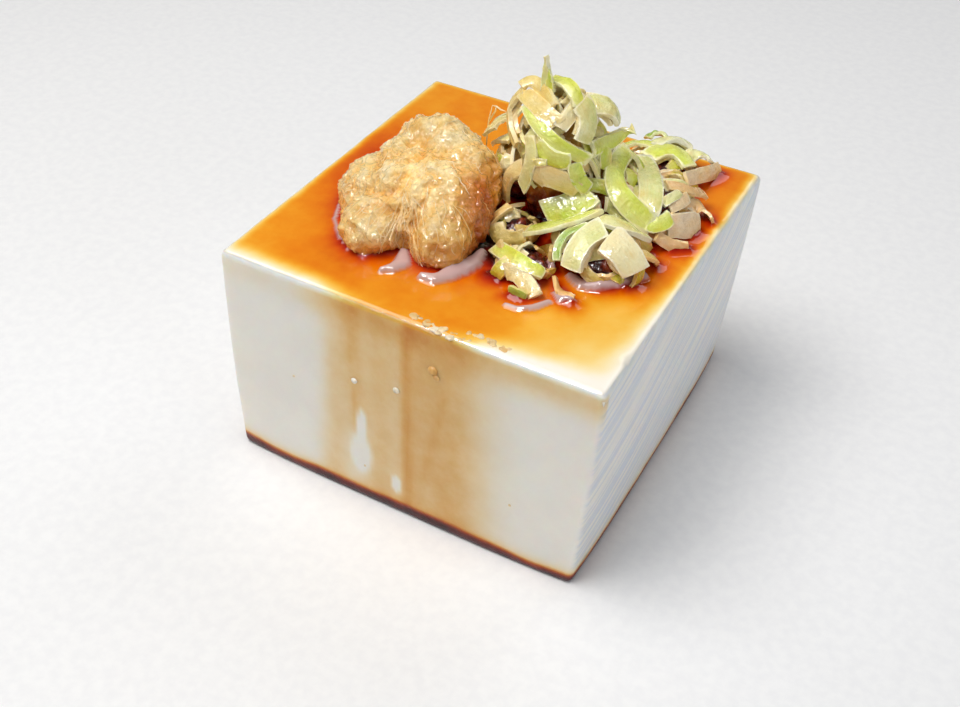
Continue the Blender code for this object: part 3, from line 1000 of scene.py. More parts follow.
@dataclass(frozen=True)
class Tongue:
    """A swelling of the sauce that leans on a topping's foot, tinted pale pink: milky juice, and
    a painted reflection of a soft light.

    Its points hold a place on the top and a half width each, in millimetres.
    """

    points: tuple[tuple[float, float, float], ...]
    height: float

    def rise(self, x: float, y: float) -> float:
        """Return how far the sauce swells at a place, as a share of the tongue's height.

        Args:
            x: Place across the top.
            y: Place along the top.

        Returns:
            The swelling, which is zero past the tongue's border.
        """
        edge = 0.12 * noise.noise(Vector((x / 1.2, y / 1.2, 4.0)))
        best = 0.0
        for (ax, ay, wide), (bx, by, narrow) in zip(self.points, self.points[1:]):
            run_x, run_y = bx - ax, by - ay
            share = ((x - ax) * run_x + (y - ay) * run_y) / (run_x * run_x + run_y * run_y)
            share = min(1.0, max(0.0, share))
            reach = (wide + share * (narrow - wide)) * (1.0 + edge)
            away = math.hypot(x - ax - share * run_x, y - ay - share * run_y) / reach
            best = max(best, 1.0 - away * away)
        return math.sqrt(best)


@dataclass
class SoyFilm:
    """The thin sauce on the top, which climbs up the toppings that stand in it."""

    cuts: int = 205
    margin: float = 0.2              # distance of the mesh's border from the top's edge
    sunk: float = 0.06               # how far the border lies under the tofu's skin
    thickness: float = 0.16
    body: float = 0.5                # how far its underside lies below its face
    overhang: float = 1.8            # how low it lies where no skin is under it
    climb: float = 0.9
    climb_reach: float = 0.8
    milk_and_reflection_strength: float = 0.85
    tongues: tuple[Tongue, ...] = (
        Tongue(((-9.8, -30.0, 0.5), (-8.4, -28.3, 1.3), (-7.7, -26.0, 1.8),
                (-8.9, -23.5, 1.1)), 1.2),
        Tongue(((-2.4, -27.8, 0.7), (0.1, -27.2, 1.4), (1.6, -24.9, 1.7), (3.0, -22.2, 1.7),
                (3.8, -19.0, 1.7), (3.6, -15.6, 0.9)), 1.4),
        Tongue(((21.0, -13.6, 0.8), (23.9, -14.7, 1.4), (26.4, -13.7, 1.7),
                (28.8, -11.1, 1.9), (31.0, -8.2, 1.8), (32.6, -6.5, 1.1)), 1.2),
        Tongue(((16.3, -12.6, 0.6), (17.3, -13.6, 0.7)), 1.6),
        Tongue(((14.7, -27.1, 0.5), (17.1, -26.9, 0.5), (19.3, -25.2, 0.8),
                (21.0, -22.3, 0.6)), 0.7),
        Tongue(((20.6, -19.6, 0.4), (22.6, -21.0, 0.6), (24.6, -19.8, 0.5)), 0.6),
        Tongue(((-28.4, -16.0, 0.3), (-26.5, -20.5, 0.4), (-21.5, -25.6, 0.4)), 0.5),
    )

    def height(self, place: Vector, sauce: SauceMap) -> float:
        """Return how high the sauce stands over the tofu.

        Args:
            place: A point on the top, in metres.
            sauce: Where the sauce lies.

        Returns:
            The height in millimetres, below zero outside the film.
        """
        x, y = place.x / MM, place.y / MM
        gap = min(x - sauce.low.x, sauce.high.x - x, y - sauce.low.y, sauce.high.y - y)
        spread = ease(gap - self.margin, 0.0, 1.0)
        rise = (self.thickness + self.sunk) * spread - self.sunk
        rise += self.climb * math.exp(-sauce.near_topping(place) / self.climb_reach) * spread
        return rise + self.swelling(place)[0]

    def swelling(self, place: Vector) -> tuple[float, float]:
        """Return how far the tongues swell at a place and how much pale milk and painted
        reflection the sauce shows there.
        """
        x, y = place.x / MM, place.y / MM
        shares = [(tongue.rise(x, y), tongue.height) for tongue in self.tongues]
        milk_and_reflection = max(share for share, _ in shares)
        return max(share * height for share, height in shares), milk_and_reflection

    def build(self, block: TofuBlock, sauce: SauceMap) -> bpy.types.Object:
        """Build the film on the block's skin.

        Args:
            block: The block that it lies on.
            sauce: Where the sauce lies.

        Returns:
            The film's piece.
        """
        bm = bmesh.new()
        border = Vector((self.margin, self.margin, 0.0)) * MM
        size = (sauce.high - sauce.low) * MM - 2.0 * border
        middle = (sauce.high + sauce.low) / 2 * MM
        place = Matrix.Translation((middle.x, middle.y, TOP_Z))
        stretch = Matrix.Diagonal((size.x / 2, size.y / 2, 1.0, 1.0))
        bmesh.ops.create_grid(bm, x_segments=self.cuts, y_segments=self.cuts, size=1.0,
                              matrix=place @ stretch)
        depth = bm.verts.layers.float.new("depth")
        milk_and_reflection_share = bm.verts.layers.float.new("milk_and_reflection_share")
        for vert in bm.verts:
            hit = block.skin_below(vert.co.x, vert.co.y)
            floor = hit.z if hit else TOP_Z - self.overhang * MM
            point = Vector((vert.co.x, vert.co.y, floor))
            rise = self.height(point, sauce)
            vert[depth] = sauce.film(point)
            # the tongues' pale pink: milky juice, with a painted reflection
            vert[milk_and_reflection_share] = self.milk_and_reflection_strength * ease(self.swelling(point)[1], 0.1, 0.55)
            vert.co.z = floor + rise * MM
        rim = bmesh.ops.extrude_face_region(bm, geom=bm.faces[:])
        under = [item for item in rim["geom"] if isinstance(item, bmesh.types.BMVert)]
        bmesh.ops.translate(bm, verts=under, vec=(0.0, 0.0, -self.body * MM))
        bmesh.ops.recalc_face_normals(bm, faces=bm.faces[:])
        return finish_piece("soy_film", bm, SauceFinish().build())


@dataclass
class GingerMound:
    """The mound of grated ginger, its loose grains and its fibres."""

    centre: Vector = field(default_factory=lambda: Vector((-14.0, -9.0, 0.8)))
    lumps: tuple[Lump, ...] = (
        Lump(-12.4, -9.8, 3.0, 12.2, 13.0, 11.2),
        Lump(-13.0, -0.8, 5.0, 8.2, 7.4, 12.4),
        Lump(-21.3, -10.8, 2.5, 8.6, 9.2, 7.2),
        Lump(-6.0, -11.5, 4.0, 8.0, 10.0, 9.5),
        Lump(-6.5, -3.2, 5.0, 6.6, 6.6, 9.8),
        Lump(-16.6, -21.0, 2.6, 6.6, 7.2, 6.2),
        Lump(-3.4, -18.6, 3.0, 5.6, 7.0, 6.8),
        Lump(-17.8, -1.8, 7.0, 5.0, 5.0, 10.0),
        Lump(-19.4, -6.6, 5.0, 4.6, 5.0, 8.6),
    )
    subdivisions: int = 7
    blend: float = 9.0
    torn_sizes: tuple[float, ...] = (2.6, 1.2, 0.6)
    torn_depths: tuple[float, ...] = (0.8, 0.5, 0.3)
    grain_size: float = 0.8
    grain_rise: float = 0.3
    lump_wave: float = 0.9
    strand_depth: float = 0.5
    bare_foot: float = 0.8           # height below which no loose grain lies
    grain_count: int = 800
    grain_radii: tuple[float, float] = (0.2, 0.5)
    grain_turn: float = 6.28
    fibre_count: int = 110
    hanging_count: int = 60
    fibre_joints: int = 7
    fibre_radii: tuple[float, float] = (0.06, 0.14)
    standing_radius: float = 0.2
    seed: int = 31
    lowest_direction: float = -0.16  # below it the sphere of directions only meets the tofu
    standing_fibres: tuple[tuple[tuple[float, float, float], ...], ...] = (
        ((-6.5, 4.0, 9.0), (-7.0, 5.0, 12.5), (-7.2, 6.0, 15.5), (-6.8, 6.5, 18.5)),
        ((-6.8, 6.5, 18.4), (-5.8, 6.3, 18.6), (-4.8, 6.2, 18.2), (-3.5, 6.0, 18.3)),
        ((-7.2, 5.8, 14.6), (-6.6, 5.9, 16.2), (-5.9, 6.0, 17.6), (-5.7, 6.1, 18.9)),
    )

    def surface(self, direction: Vector) -> tuple[Vector, float]:
        """Return the mound's surface in a direction and how deep its creases are there.

        Args:
            direction: Direction from the mound's centre.

        Returns:
            The point in metres and the crease's depth, from 0 to 1.
        """
        reaches = [lump.reach(self.centre, direction) for lump in self.lumps]
        longest = max(reaches)
        blended = sum((reach / longest) ** self.blend for reach in reaches)
        smooth = longest * blended ** (1.0 / (2.0 * self.blend))
        surface = self.centre + direction * smooth
        torn = sum(deep * noise.noise(surface / size)
                   for size, deep in zip(self.torn_sizes, self.torn_depths))
        grainy = ease(noise.noise(surface / 5.5 + Vector((3.0, 1.0, 7.0))), -0.25, 0.2)
        nearest = noise.voronoi(surface / self.grain_size)[0][0]
        torn -= grainy * self.grain_rise * min(1.0, nearest)
        crease = ease(-torn, -0.1, 0.6)
        sunk = -torn
        hanging = ease(-surface.y, 8.0, 16.0) * ease(7.0 - abs(surface.x + 10.0), 0.0, 5.0)
        strand = noise.noise(Vector((surface.x / 0.55, surface.y / 0.9, surface.z / 6.0)))
        sunk += hanging * self.strand_depth * abs(strand) * 2.0
        sunk -= self.lump_wave * noise.noise(surface / 4.6)
        place = self.centre + direction * (smooth - sunk)
        return place * MM + TOP, crease

    def soak_and_shade(self, place: Vector, crease: float) -> float:
        """Return how much sauce the ginger has taken up at a place, with painted shade added in
        its creases, on its lower front and right side and in the hollow by the onion.

        Args:
            place: A point of the mound, in metres.
            crease: Depth of its creases there.

        Returns:
            Depth of soaked sauce, with painted shade added.
        """
        height = (place.z - TOP_Z) / MM
        x, y = place.x / MM, place.y / MM
        # painted shade: darker in the creases, over soy that runs into them
        soak_and_shade = 0.07 + 0.3 * crease
        soak_and_shade += 2.0 * math.exp(-height / 0.8) + 0.25 * math.exp(-height / 4.0)
        # the lower front, the right side and the hollow by the onion are darker: soy, with
        # painted shade
        soak_and_shade += 0.45 * ease(x, -12.0, -5.0) * ease(-y, 9.0, 16.0) * math.exp(-height / 6.0)
        soak_and_shade += 0.35 * max(0.0, noise.noise(place / (6.0 * MM)))
        soak_and_shade += 0.14 * ease(x, -12.0, 0.0) * ease(y, -14.0, -4.0)
        return soak_and_shade + 1.3 * bell(x - 1.5, 3.8) * bell(y + 11.0, 7.0)

    def build_mound(self) -> bmesh.types.BMesh:
        """Return the mound's mesh, cut flat where it stands on the tofu."""
        bm = bmesh.new()
        bmesh.ops.create_icosphere(bm, subdivisions=self.subdivisions, radius=1.0)
        bmesh.ops.bisect_plane(bm, geom=bm.verts[:] + bm.edges[:] + bm.faces[:],
                               plane_co=(0.0, 0.0, self.lowest_direction), plane_no=UP,
                               clear_inner=True)
        soak_and_shade = bm.verts.layers.float.new("soak_and_shade")
        for vert in bm.verts:
            place, crease = self.surface(vert.co.normalized())
            vert.co = place
            vert[soak_and_shade] = self.soak_and_shade(place, crease)
        stand_on_top(bm)
        return bm

    def random_spot(self, draw: random.Random) -> tuple[Vector, Vector, float]:
        """Pick a spot of the mound that is well above its foot.

        Args:
            draw: Source of the draws.

        Returns:
            The point in metres, the direction that it faces and its crease.
        """
        while True:
            z = draw.uniform(-0.05, 1.0)
            turn = draw.uniform(0.0, FULL_TURN)
            flat = math.sqrt(max(0.0, 1.0 - z * z))
            direction = Vector((flat * math.cos(turn), flat * math.sin(turn), z))
            place, crease = self.surface(direction)
            if place.z > TOP_Z + self.bare_foot * MM:
                local = (place - TOP) / MM
                nearest = min(self.lumps, key=lambda lump: lump.scaled(local).length)
                return place, nearest.outward(local), crease

    def build_grains(self) -> bmesh.types.BMesh:
        """Return loose glassy grains, half sunk in the mound."""
        draw = random.Random(self.seed)
        bm = bmesh.new()
        soak_and_shade = bm.verts.layers.float.new("soak_and_shade")
        for _ in range(self.grain_count):
            place, facing, crease = self.random_spot(draw)
            radius = draw.uniform(*self.grain_radii) * MM
            stretch = Matrix.Diagonal((1.0, draw.uniform(0.3, 0.6), draw.uniform(0.3, 0.5), 1.0))
            turn = Matrix.Rotation(draw.uniform(0.0, self.grain_turn), 4, "Z")
            tilt = Matrix.Rotation(draw.uniform(-0.6, 0.6), 4, "X")
            lay = facing.to_track_quat("Z", "Y").to_matrix().to_4x4()
            matrix = Matrix.Translation(place) @ lay @ turn @ tilt @ stretch
            made = bmesh.ops.create_icosphere(bm, subdivisions=2, radius=radius, matrix=matrix)
            level = self.soak_and_shade(place, 0.5 * crease)
            for vert in made["verts"]:
                vert.co += noise.noise_vector(vert.co / (0.5 * MM)) * 0.4 * radius
                vert[soak_and_shade] = level
        return bm

    def build_fibres(self) -> bmesh.types.BMesh:
        """Return the fibres laid over the mound, and the three that stand off its top."""
        draw = random.Random(self.seed + 1)
        bm = bmesh.new()
        bm.verts.layers.float.new("soak_and_shade")
        for number in range(self.fibre_count + self.hanging_count):
            hanging = number >= self.fibre_count
            turn = draw.gauss(-1.25, 0.22) if hanging else draw.uniform(0.0, FULL_TURN)
            rise = draw.uniform(0.3, 0.9) if hanging else draw.uniform(0.15, 1.35)
            start = aim(turn, rise)
            bearing = draw.gauss(0.0, 0.15 if hanging else 0.8)
            down = (-UP).cross(start).cross(start) * -1.0
            down.normalize()
            heading = Matrix.Rotation(bearing, 3, start) @ down
            reach = draw.uniform(0.25, 0.6) if hanging else draw.uniform(0.1, 0.35)
            bend = start.cross(heading) * draw.uniform(-0.08, 0.08)
            line = []
            for joint in range(self.fibre_joints):
                share = joint / (self.fibre_joints - 1)
                way = start + heading * reach * share + bend * math.sin(math.pi * share)
                place, _ = self.surface(way.normalized())
                line.append(place + start * draw.uniform(0.0, 0.22) * MM)
            level = 0.5 * self.soak_and_shade(line[0], 0.2)
            self.add_fibre(bm, line, draw.uniform(*self.fibre_radii) * MM, level)
        for points in self.standing_fibres:
            line = [millimetres(*point) + TOP for point in points]
            self.add_fibre(bm, line, self.standing_radius * MM, 0.15)
        return bm

    @staticmethod
    def add_fibre(bm: bmesh.types.BMesh, line: list[Vector], radius: float,
                  soak_and_shade: float) -> None:
        """Add a thin strand, tapered at both ends, along a line of points.

        Args:
            bm: Mesh that it goes into.
            line: Points of the strand, in metres.
            radius: Its radius at the middle, in metres.
            soak_and_shade: How much sauce it has taken up.
        """
        strand = bmesh.new()
        bmesh.ops.create_cone(strand, cap_ends=True, segments=5, radius1=1.0, radius2=1.0,
                              depth=1.0)
        sides = [edge for edge in strand.edges
                 if abs(edge.verts[0].co.z - edge.verts[1].co.z) > 0.5]
        bmesh.ops.subdivide_edges(strand, edges=sides, cuts=len(line) - 2)
        own = strand.verts.layers.float.new("soak_and_shade")
        for vert in strand.verts:
            share = min(1.0, max(0.0, vert.co.z + 0.5))
            joint = round(share * (len(line) - 1))
            before, after = line[max(0, joint - 1)], line[min(len(line) - 1, joint + 1)]
            heading = (after - before).normalized()
            side = heading.cross(Vector((0.31, 0.82, 0.48))).normalized()
            up = heading.cross(side)
            taper = radius * (0.3 + 0.7 * math.sin(math.pi * share))
            vert.co = line[joint] + side * vert.co.x * taper + up * vert.co.y * taper
            vert[own] = soak_and_shade
        pour(strand, bm)

    def build(self) -> BVHTree:
        """Build the mound, its grains and its fibres.

        Returns:
            Search tree of the mound's surface.
        """
        mound = self.build_mound()
        tree = BVHTree.FromBMesh(mound)
        finish_piece("ginger_mound", mound, GingerFinish().build(),
                     "grated_ginger")
        loose = GingerFinish("ginger_grain", paint(255, 240, 200), paint(255, 226, 160),
                             grain_scale=2500.0, grain_depth=0.03 * MM,
                             glow_reach=0.12 * MM).build()
        finish_piece("ginger_grains", self.build_grains(), loose)
        finish_piece("ginger_fibres", self.build_fibres(), loose)
        return tree


class Look(Enum):
    """What a slice shows: which part of the onion it is and how much sauce it took up."""

    LIME = "lime"
    PALE = "pale"
    CREAM = "cream"
    TAN = "tan"
    GREEN = "green"
    SOAKED = "soaked"


ONION_FINISHES = {
    Look.LIME: OnionFinish("onion_lime", paint(228, 238, 96), paint(202, 222, 66),
                           paint(246, 244, 170), paint(250, 250, 200)),
    Look.PALE: OnionFinish("onion_pale", paint(240, 240, 170), paint(224, 232, 148),
                           paint(250, 246, 204), paint(253, 252, 224)),
    Look.CREAM: OnionFinish("onion_cream", paint(252, 244, 196), paint(244, 234, 166),
                            paint(253, 247, 212), paint(254, 250, 226)),
    Look.TAN: OnionFinish("onion_tan", paint(248, 232, 160), paint(238, 218, 130),
                          paint(250, 238, 188), paint(252, 244, 200)),
    Look.GREEN: OnionFinish("onion_green", paint(178, 206, 84), paint(140, 180, 58),
                            paint(214, 224, 160), paint(228, 236, 176)),
    Look.SOAKED: OnionFinish("onion_soaked", paint(254, 236, 210), paint(246, 220, 186),
                             paint(254, 242, 218), paint(255, 248, 230)),
}


@dataclass(frozen=True)
class OnionSlice:
    """One slice along a curve through three points, in millimetres above the block's top."""

    look: Look
    start: tuple[float, float, float]
    middle: tuple[float, float, float]
    end: tuple[float, float, float]
    width: float
    thick: float
    roll: float = 0.0
    soak_and_shade: float = 0.0
    plies: int = 1
    skew: float = 0.0
    cup: float = 0.07
    far_width: float = 1.0           # share of the width that is left at the end

    def curve(self, share: float) -> tuple[Vector, Vector]:
        """Return the point and heading at a share of the way along, in millimetres."""
        start, middle, end = Vector(self.start), Vector(self.middle), Vector(self.end)
        handle = middle * 2 - (start + end) / 2
        point = start * (1 - share) ** 2 + handle * 2 * share * (1 - share) + end * share ** 2
        heading = (handle - start) * (1 - share) + (end - handle) * share
        return point, heading.normalized()


SLICES: dict[str, OnionSlice] = {
    "tip": OnionSlice(Look.PALE, (6.5, 3.0, 26.8), (6.0, 3.2, 30.2), (5.9, 2.7, 33.6), 2.9, 1.3,
                      60, far_width=0.06),
    "tip_side": OnionSlice(Look.LIME, (7.1, 2.6, 26.8), (6.9, 2.6, 29.0), (6.6, 2.7, 31.2), 2.0,
                           1.0, 40, far_width=0.1),
    "crown_lime": OnionSlice(Look.LIME, (5.6, 5.7, 27.8), (10.3, 3.4, 28.7),
                             (13.2, 1.9, 26.3), 2.6, 1.1, soak_and_shade=0.02),
    "crown_tan": OnionSlice(Look.TAN, (0.9, 3.1, 26.2), (3.9, 3.7, 27.2), (9.3, -0.7, 25.9),
                            2.6, 1.1, 20, soak_and_shade=0.1),
    "inner_tan": OnionSlice(Look.TAN, (1.9, 2.6, 25.3), (7.0, -0.6, 25.2),
                            (11.2, -1.9, 23.6), 3.4, 1.0, -20, soak_and_shade=0.12),
    "long_lime": OnionSlice(Look.LIME, (3.3, 0.7, 24.3), (10.6, -3.4, 21.6),
                            (17.0, 0.1, 17.2), 2.5, 1.3, -10, plies=2),
    "long_flap": OnionSlice(Look.LIME, (8.2, -3.9, 19.9), (11.4, -4.5, 18.2),
                            (14.6, -2.8, 17.7), 3.6, 1.0, 15, skew=0.3),
    "right_shell": OnionSlice(Look.PALE, (13.0, 2.5, 26.9), (15.2, 1.7, 24.0),
                              (15.2, -0.5, 20.6), 4.2, 1.1, soak_and_shade=0.05, plies=2),
    "left_tan": OnionSlice(Look.TAN, (2.2, 2.6, 26.0), (-0.3, 1.6, 21.1),
                           (3.4, -2.3, 17.0), 2.6, 1.2, soak_and_shade=0.15, plies=2),
    "stalk": OnionSlice(Look.PALE, (6.4, -3.4, 20.8), (7.7, -5.0, 17.0), (6.4, -5.3, 10.8),
                        2.4, 1.1, soak_and_shade=0.08),
    "stalk_branch": OnionSlice(Look.PALE, (7.4, -5.2, 16.2), (9.2, -5.3, 17.0),
                               (11.0, -5.0, 17.5), 1.3, 0.9, soak_and_shade=0.08),
    "mid_lime": OnionSlice(Look.LIME, (14.9, -2.2, 17.2), (16.0, -2.3, 14.5),
                           (17.4, -0.4, 11.3), 3.0, 1.1),
    "cream_flat": OnionSlice(Look.CREAM, (8.5, -5.0, 13.1), (12.0, -5.0, 14.6),
                             (16.1, -1.9, 11.3), 4.2, 1.1, soak_and_shade=0.18),
    "low_left": OnionSlice(Look.CREAM, (6.0, -4.3, 14.5), (2.6, -3.2, 10.3),
                           (1.2, -1.3, 3.9), 2.9, 1.2, soak_and_shade=0.2),
    "lobed": OnionSlice(Look.PALE, (12.8, 5.2, 25.0), (16.4, 8.2, 23.9), (18.1, 9.3, 20.6),
                        4.0, 1.4, 10, soak_and_shade=0.04, plies=2),
    "right_flap": OnionSlice(Look.LIME, (16.6, 1.2, 18.6), (17.6, 9.0, 17.0),
                             (20.0, 13.0, 18.0), 3.4, 1.0, 10, skew=-0.3),
    "behind_left": OnionSlice(Look.PALE, (-5.2, 2.8, 14.6), (-4.4, 6.2, 16.2),
                              (-1.2, 7.4, 17.2), 4.8, 1.1, 10, soak_and_shade=0.14),
    "stack_up": OnionSlice(Look.LIME, (10.9, -4.7, 6.2), (15.6, -2.8, 8.7),
                           (18.4, -0.4, 10.6), 5.0, 1.4, -12, plies=2),
    "stack_low": OnionSlice(Look.LIME, (9.9, -8.8, 4.0), (16.0, -7.6, 7.0),
                            (20.4, -2.6, 8.1), 5.0, 1.4, -16),
    "grey_ring": OnionSlice(Look.PALE, (2.9, -8.9, 3.2), (6.0, -10.6, 2.0), (9.5, -9.1, 2.9),
                            3.4, 1.1, soak_and_shade=0.2),
    "low_lime": OnionSlice(Look.LIME, (6.1, -14.5, 2.2), (13.1, -18.6, 4.0),
                           (17.6, -17.9, 2.4), 3.0, 1.3, plies=2),
    "stub": OnionSlice(Look.CREAM, (11.0, -20.4, 2.2), (14.1, -20.4, 2.5),
                       (18.5, -22.6, 0.9), 3.2, 1.4, soak_and_shade=0.1),
    "green_bit": OnionSlice(Look.GREEN, (13.6, -23.2, 1.0), (15.4, -23.8, 1.2),
                            (17.0, -23.4, 0.8), 2.2, 1.2, soak_and_shade=0.1),
    "soaked_sliver": OnionSlice(Look.SOAKED, (19.0, -16.2, 1.4), (21.6, -18.9, 1.0),
                                (24.5, -19.9, 0.7), 2.2, 1.0, soak_and_shade=0.3),
    "rim_green": OnionSlice(Look.GREEN, (21.3, -7.7, 8.3), (18.3, -11.0, 6.7),
                            (18.8, -14.6, 3.8), 1.6, 1.0),
    "thick_cream": OnionSlice(Look.PALE, (24.0, -6.7, 8.4), (22.0, -12.0, 7.1),
                              (21.9, -15.4, 3.6), 4.4, 1.8, soak_and_shade=0.02, plies=2),
    "core_white": OnionSlice(Look.CREAM, (25.6, -9.2, 8.0), (29.0, -9.6, 7.1),
                             (32.5, -10.1, 3.6), 6.6, 1.4, soak_and_shade=0.05, plies=2),
    "pale_top": OnionSlice(Look.PALE, (22.1, -4.6, 8.3), (26.4, -3.6, 7.8),
                           (29.2, 0.4, 4.2), 4.4, 1.4, soak_and_shade=0.04),
    "upper_mid": OnionSlice(Look.PALE, (21.0, 0.4, 8.6), (23.1, 1.9, 7.1), (25.4, 1.3, 5.3),
                            3.0, 1.2, soak_and_shade=0.04),
    "crescent": OnionSlice(Look.LIME, (18.5, 16.0, 11.5), (21.2, 3.8, 11.2),
                           (29.6, 3.3, 5.1), 4.2, 1.4, 10),
    "crescent_end": OnionSlice(Look.LIME, (28.8, 2.9, 5.2), (30.8, 4.2, 5.3),
                               (31.8, 6.9, 5.7), 3.0, 1.2),
    "crescent_core": OnionSlice(Look.PALE, (19.2, 21.0, 7.6), (26.0, 10.6, 9.1),
                                (28.2, 4.4, 7.0), 4.8, 1.0, soak_and_shade=0.02, cup=0.1),
    "right_lime": OnionSlice(Look.LIME, (20.4, 23.4, 6.4), (23.6, 28.0, 6.8),
                             (28.3, 26.7, 4.9), 4.2, 1.3, plies=2),
    "back_pale": OnionSlice(Look.PALE, (19.6, 28.0, 6.5), (22.0, 32.6, 6.6),
                            (25.8, 34.3, 4.9), 3.4, 1.3),
    "corner_green": OnionSlice(Look.GREEN, (16.8, 31.6, 5.6), (18.5, 33.4, 6.5),
                               (21.0, 33.6, 5.6), 2.8, 1.1),
    "band_behind": OnionSlice(Look.LIME, (14.2, 25.0, 6.2), (16.7, 27.9, 6.3),
                              (20.0, 28.4, 6.2), 2.8, 1.1),
    "far_flake": OnionSlice(Look.PALE, (26.2, 30.1, 4.4), (27.6, 33.7, 4.4),
                            (30.4, 34.0, 3.0), 3.4, 1.2),
    "soaked_far": OnionSlice(Look.SOAKED, (29.2, 21.6, 5.3), (30.8, 29.2, 2.9),
                             (31.8, 35.8, 0.9), 3.2, 1.0, soak_and_shade=0.12),
    "sliver": OnionSlice(Look.SOAKED, (28.2, 13.0, 8.2), (31.5, 16.8, 6.2),
                         (33.3, 22.0, 2.7), 2.2, 1.0, soak_and_shade=0.3),
    "small_white": OnionSlice(Look.PALE, (29.6, 7.4, 7.6), (30.7, 10.5, 7.7),
                              (31.0, 13.6, 6.9), 2.0, 1.0, soak_and_shade=0.03),
    "soaked_near": OnionSlice(Look.SOAKED, (30.8, 8.2, 6.6), (31.9, 11.0, 6.5),
                              (32.1, 14.9, 5.7), 2.6, 1.0, soak_and_shade=0.15),
    "detached": OnionSlice(Look.SOAKED, (31.5, 15.0, 2.8), (34.1, 17.8, 2.4),
                           (37.5, 16.2, 0.9), 3.4, 1.0, soak_and_shade=0.2),
    "crumple": OnionSlice(Look.SOAKED, (31.8, 5.6, 4.3), (34.0, 8.8, 3.5),
                          (35.6, 13.6, 1.1), 5.0, 1.3, soak_and_shade=0.05, plies=2),
    "pink_arc": OnionSlice(Look.SOAKED, (30.8, 3.0, 3.8), (33.4, 4.4, 1.5),
                           (36.4, 6.2, 0.9), 2.4, 1.0, soak_and_shade=0.15),
}


@dataclass(frozen=True)
class Shreds:
    """A scatter of small slices on the skin of the heap's lumps."""

    seed: int
    per_lump: tuple[int, ...]
    bearings: tuple[float, float] = (0.0, 1.0)     # part of the way round each lump
    heights: tuple[float, float] = (0.02, 0.98)    # shares of each lump's height
    runs: tuple[float, float] = (2.5, 5.5)
    widths: tuple[float, float] = (1.6, 3.2)
    sags: tuple[float, float] = (0.2, 0.6)         # how far the ends lie lower
    roll: float = 40.0                             # most that they lean, in degrees
    thick: float = 0.9
    sunk: float = 0.7                              # how far they lie in the lumps' skin


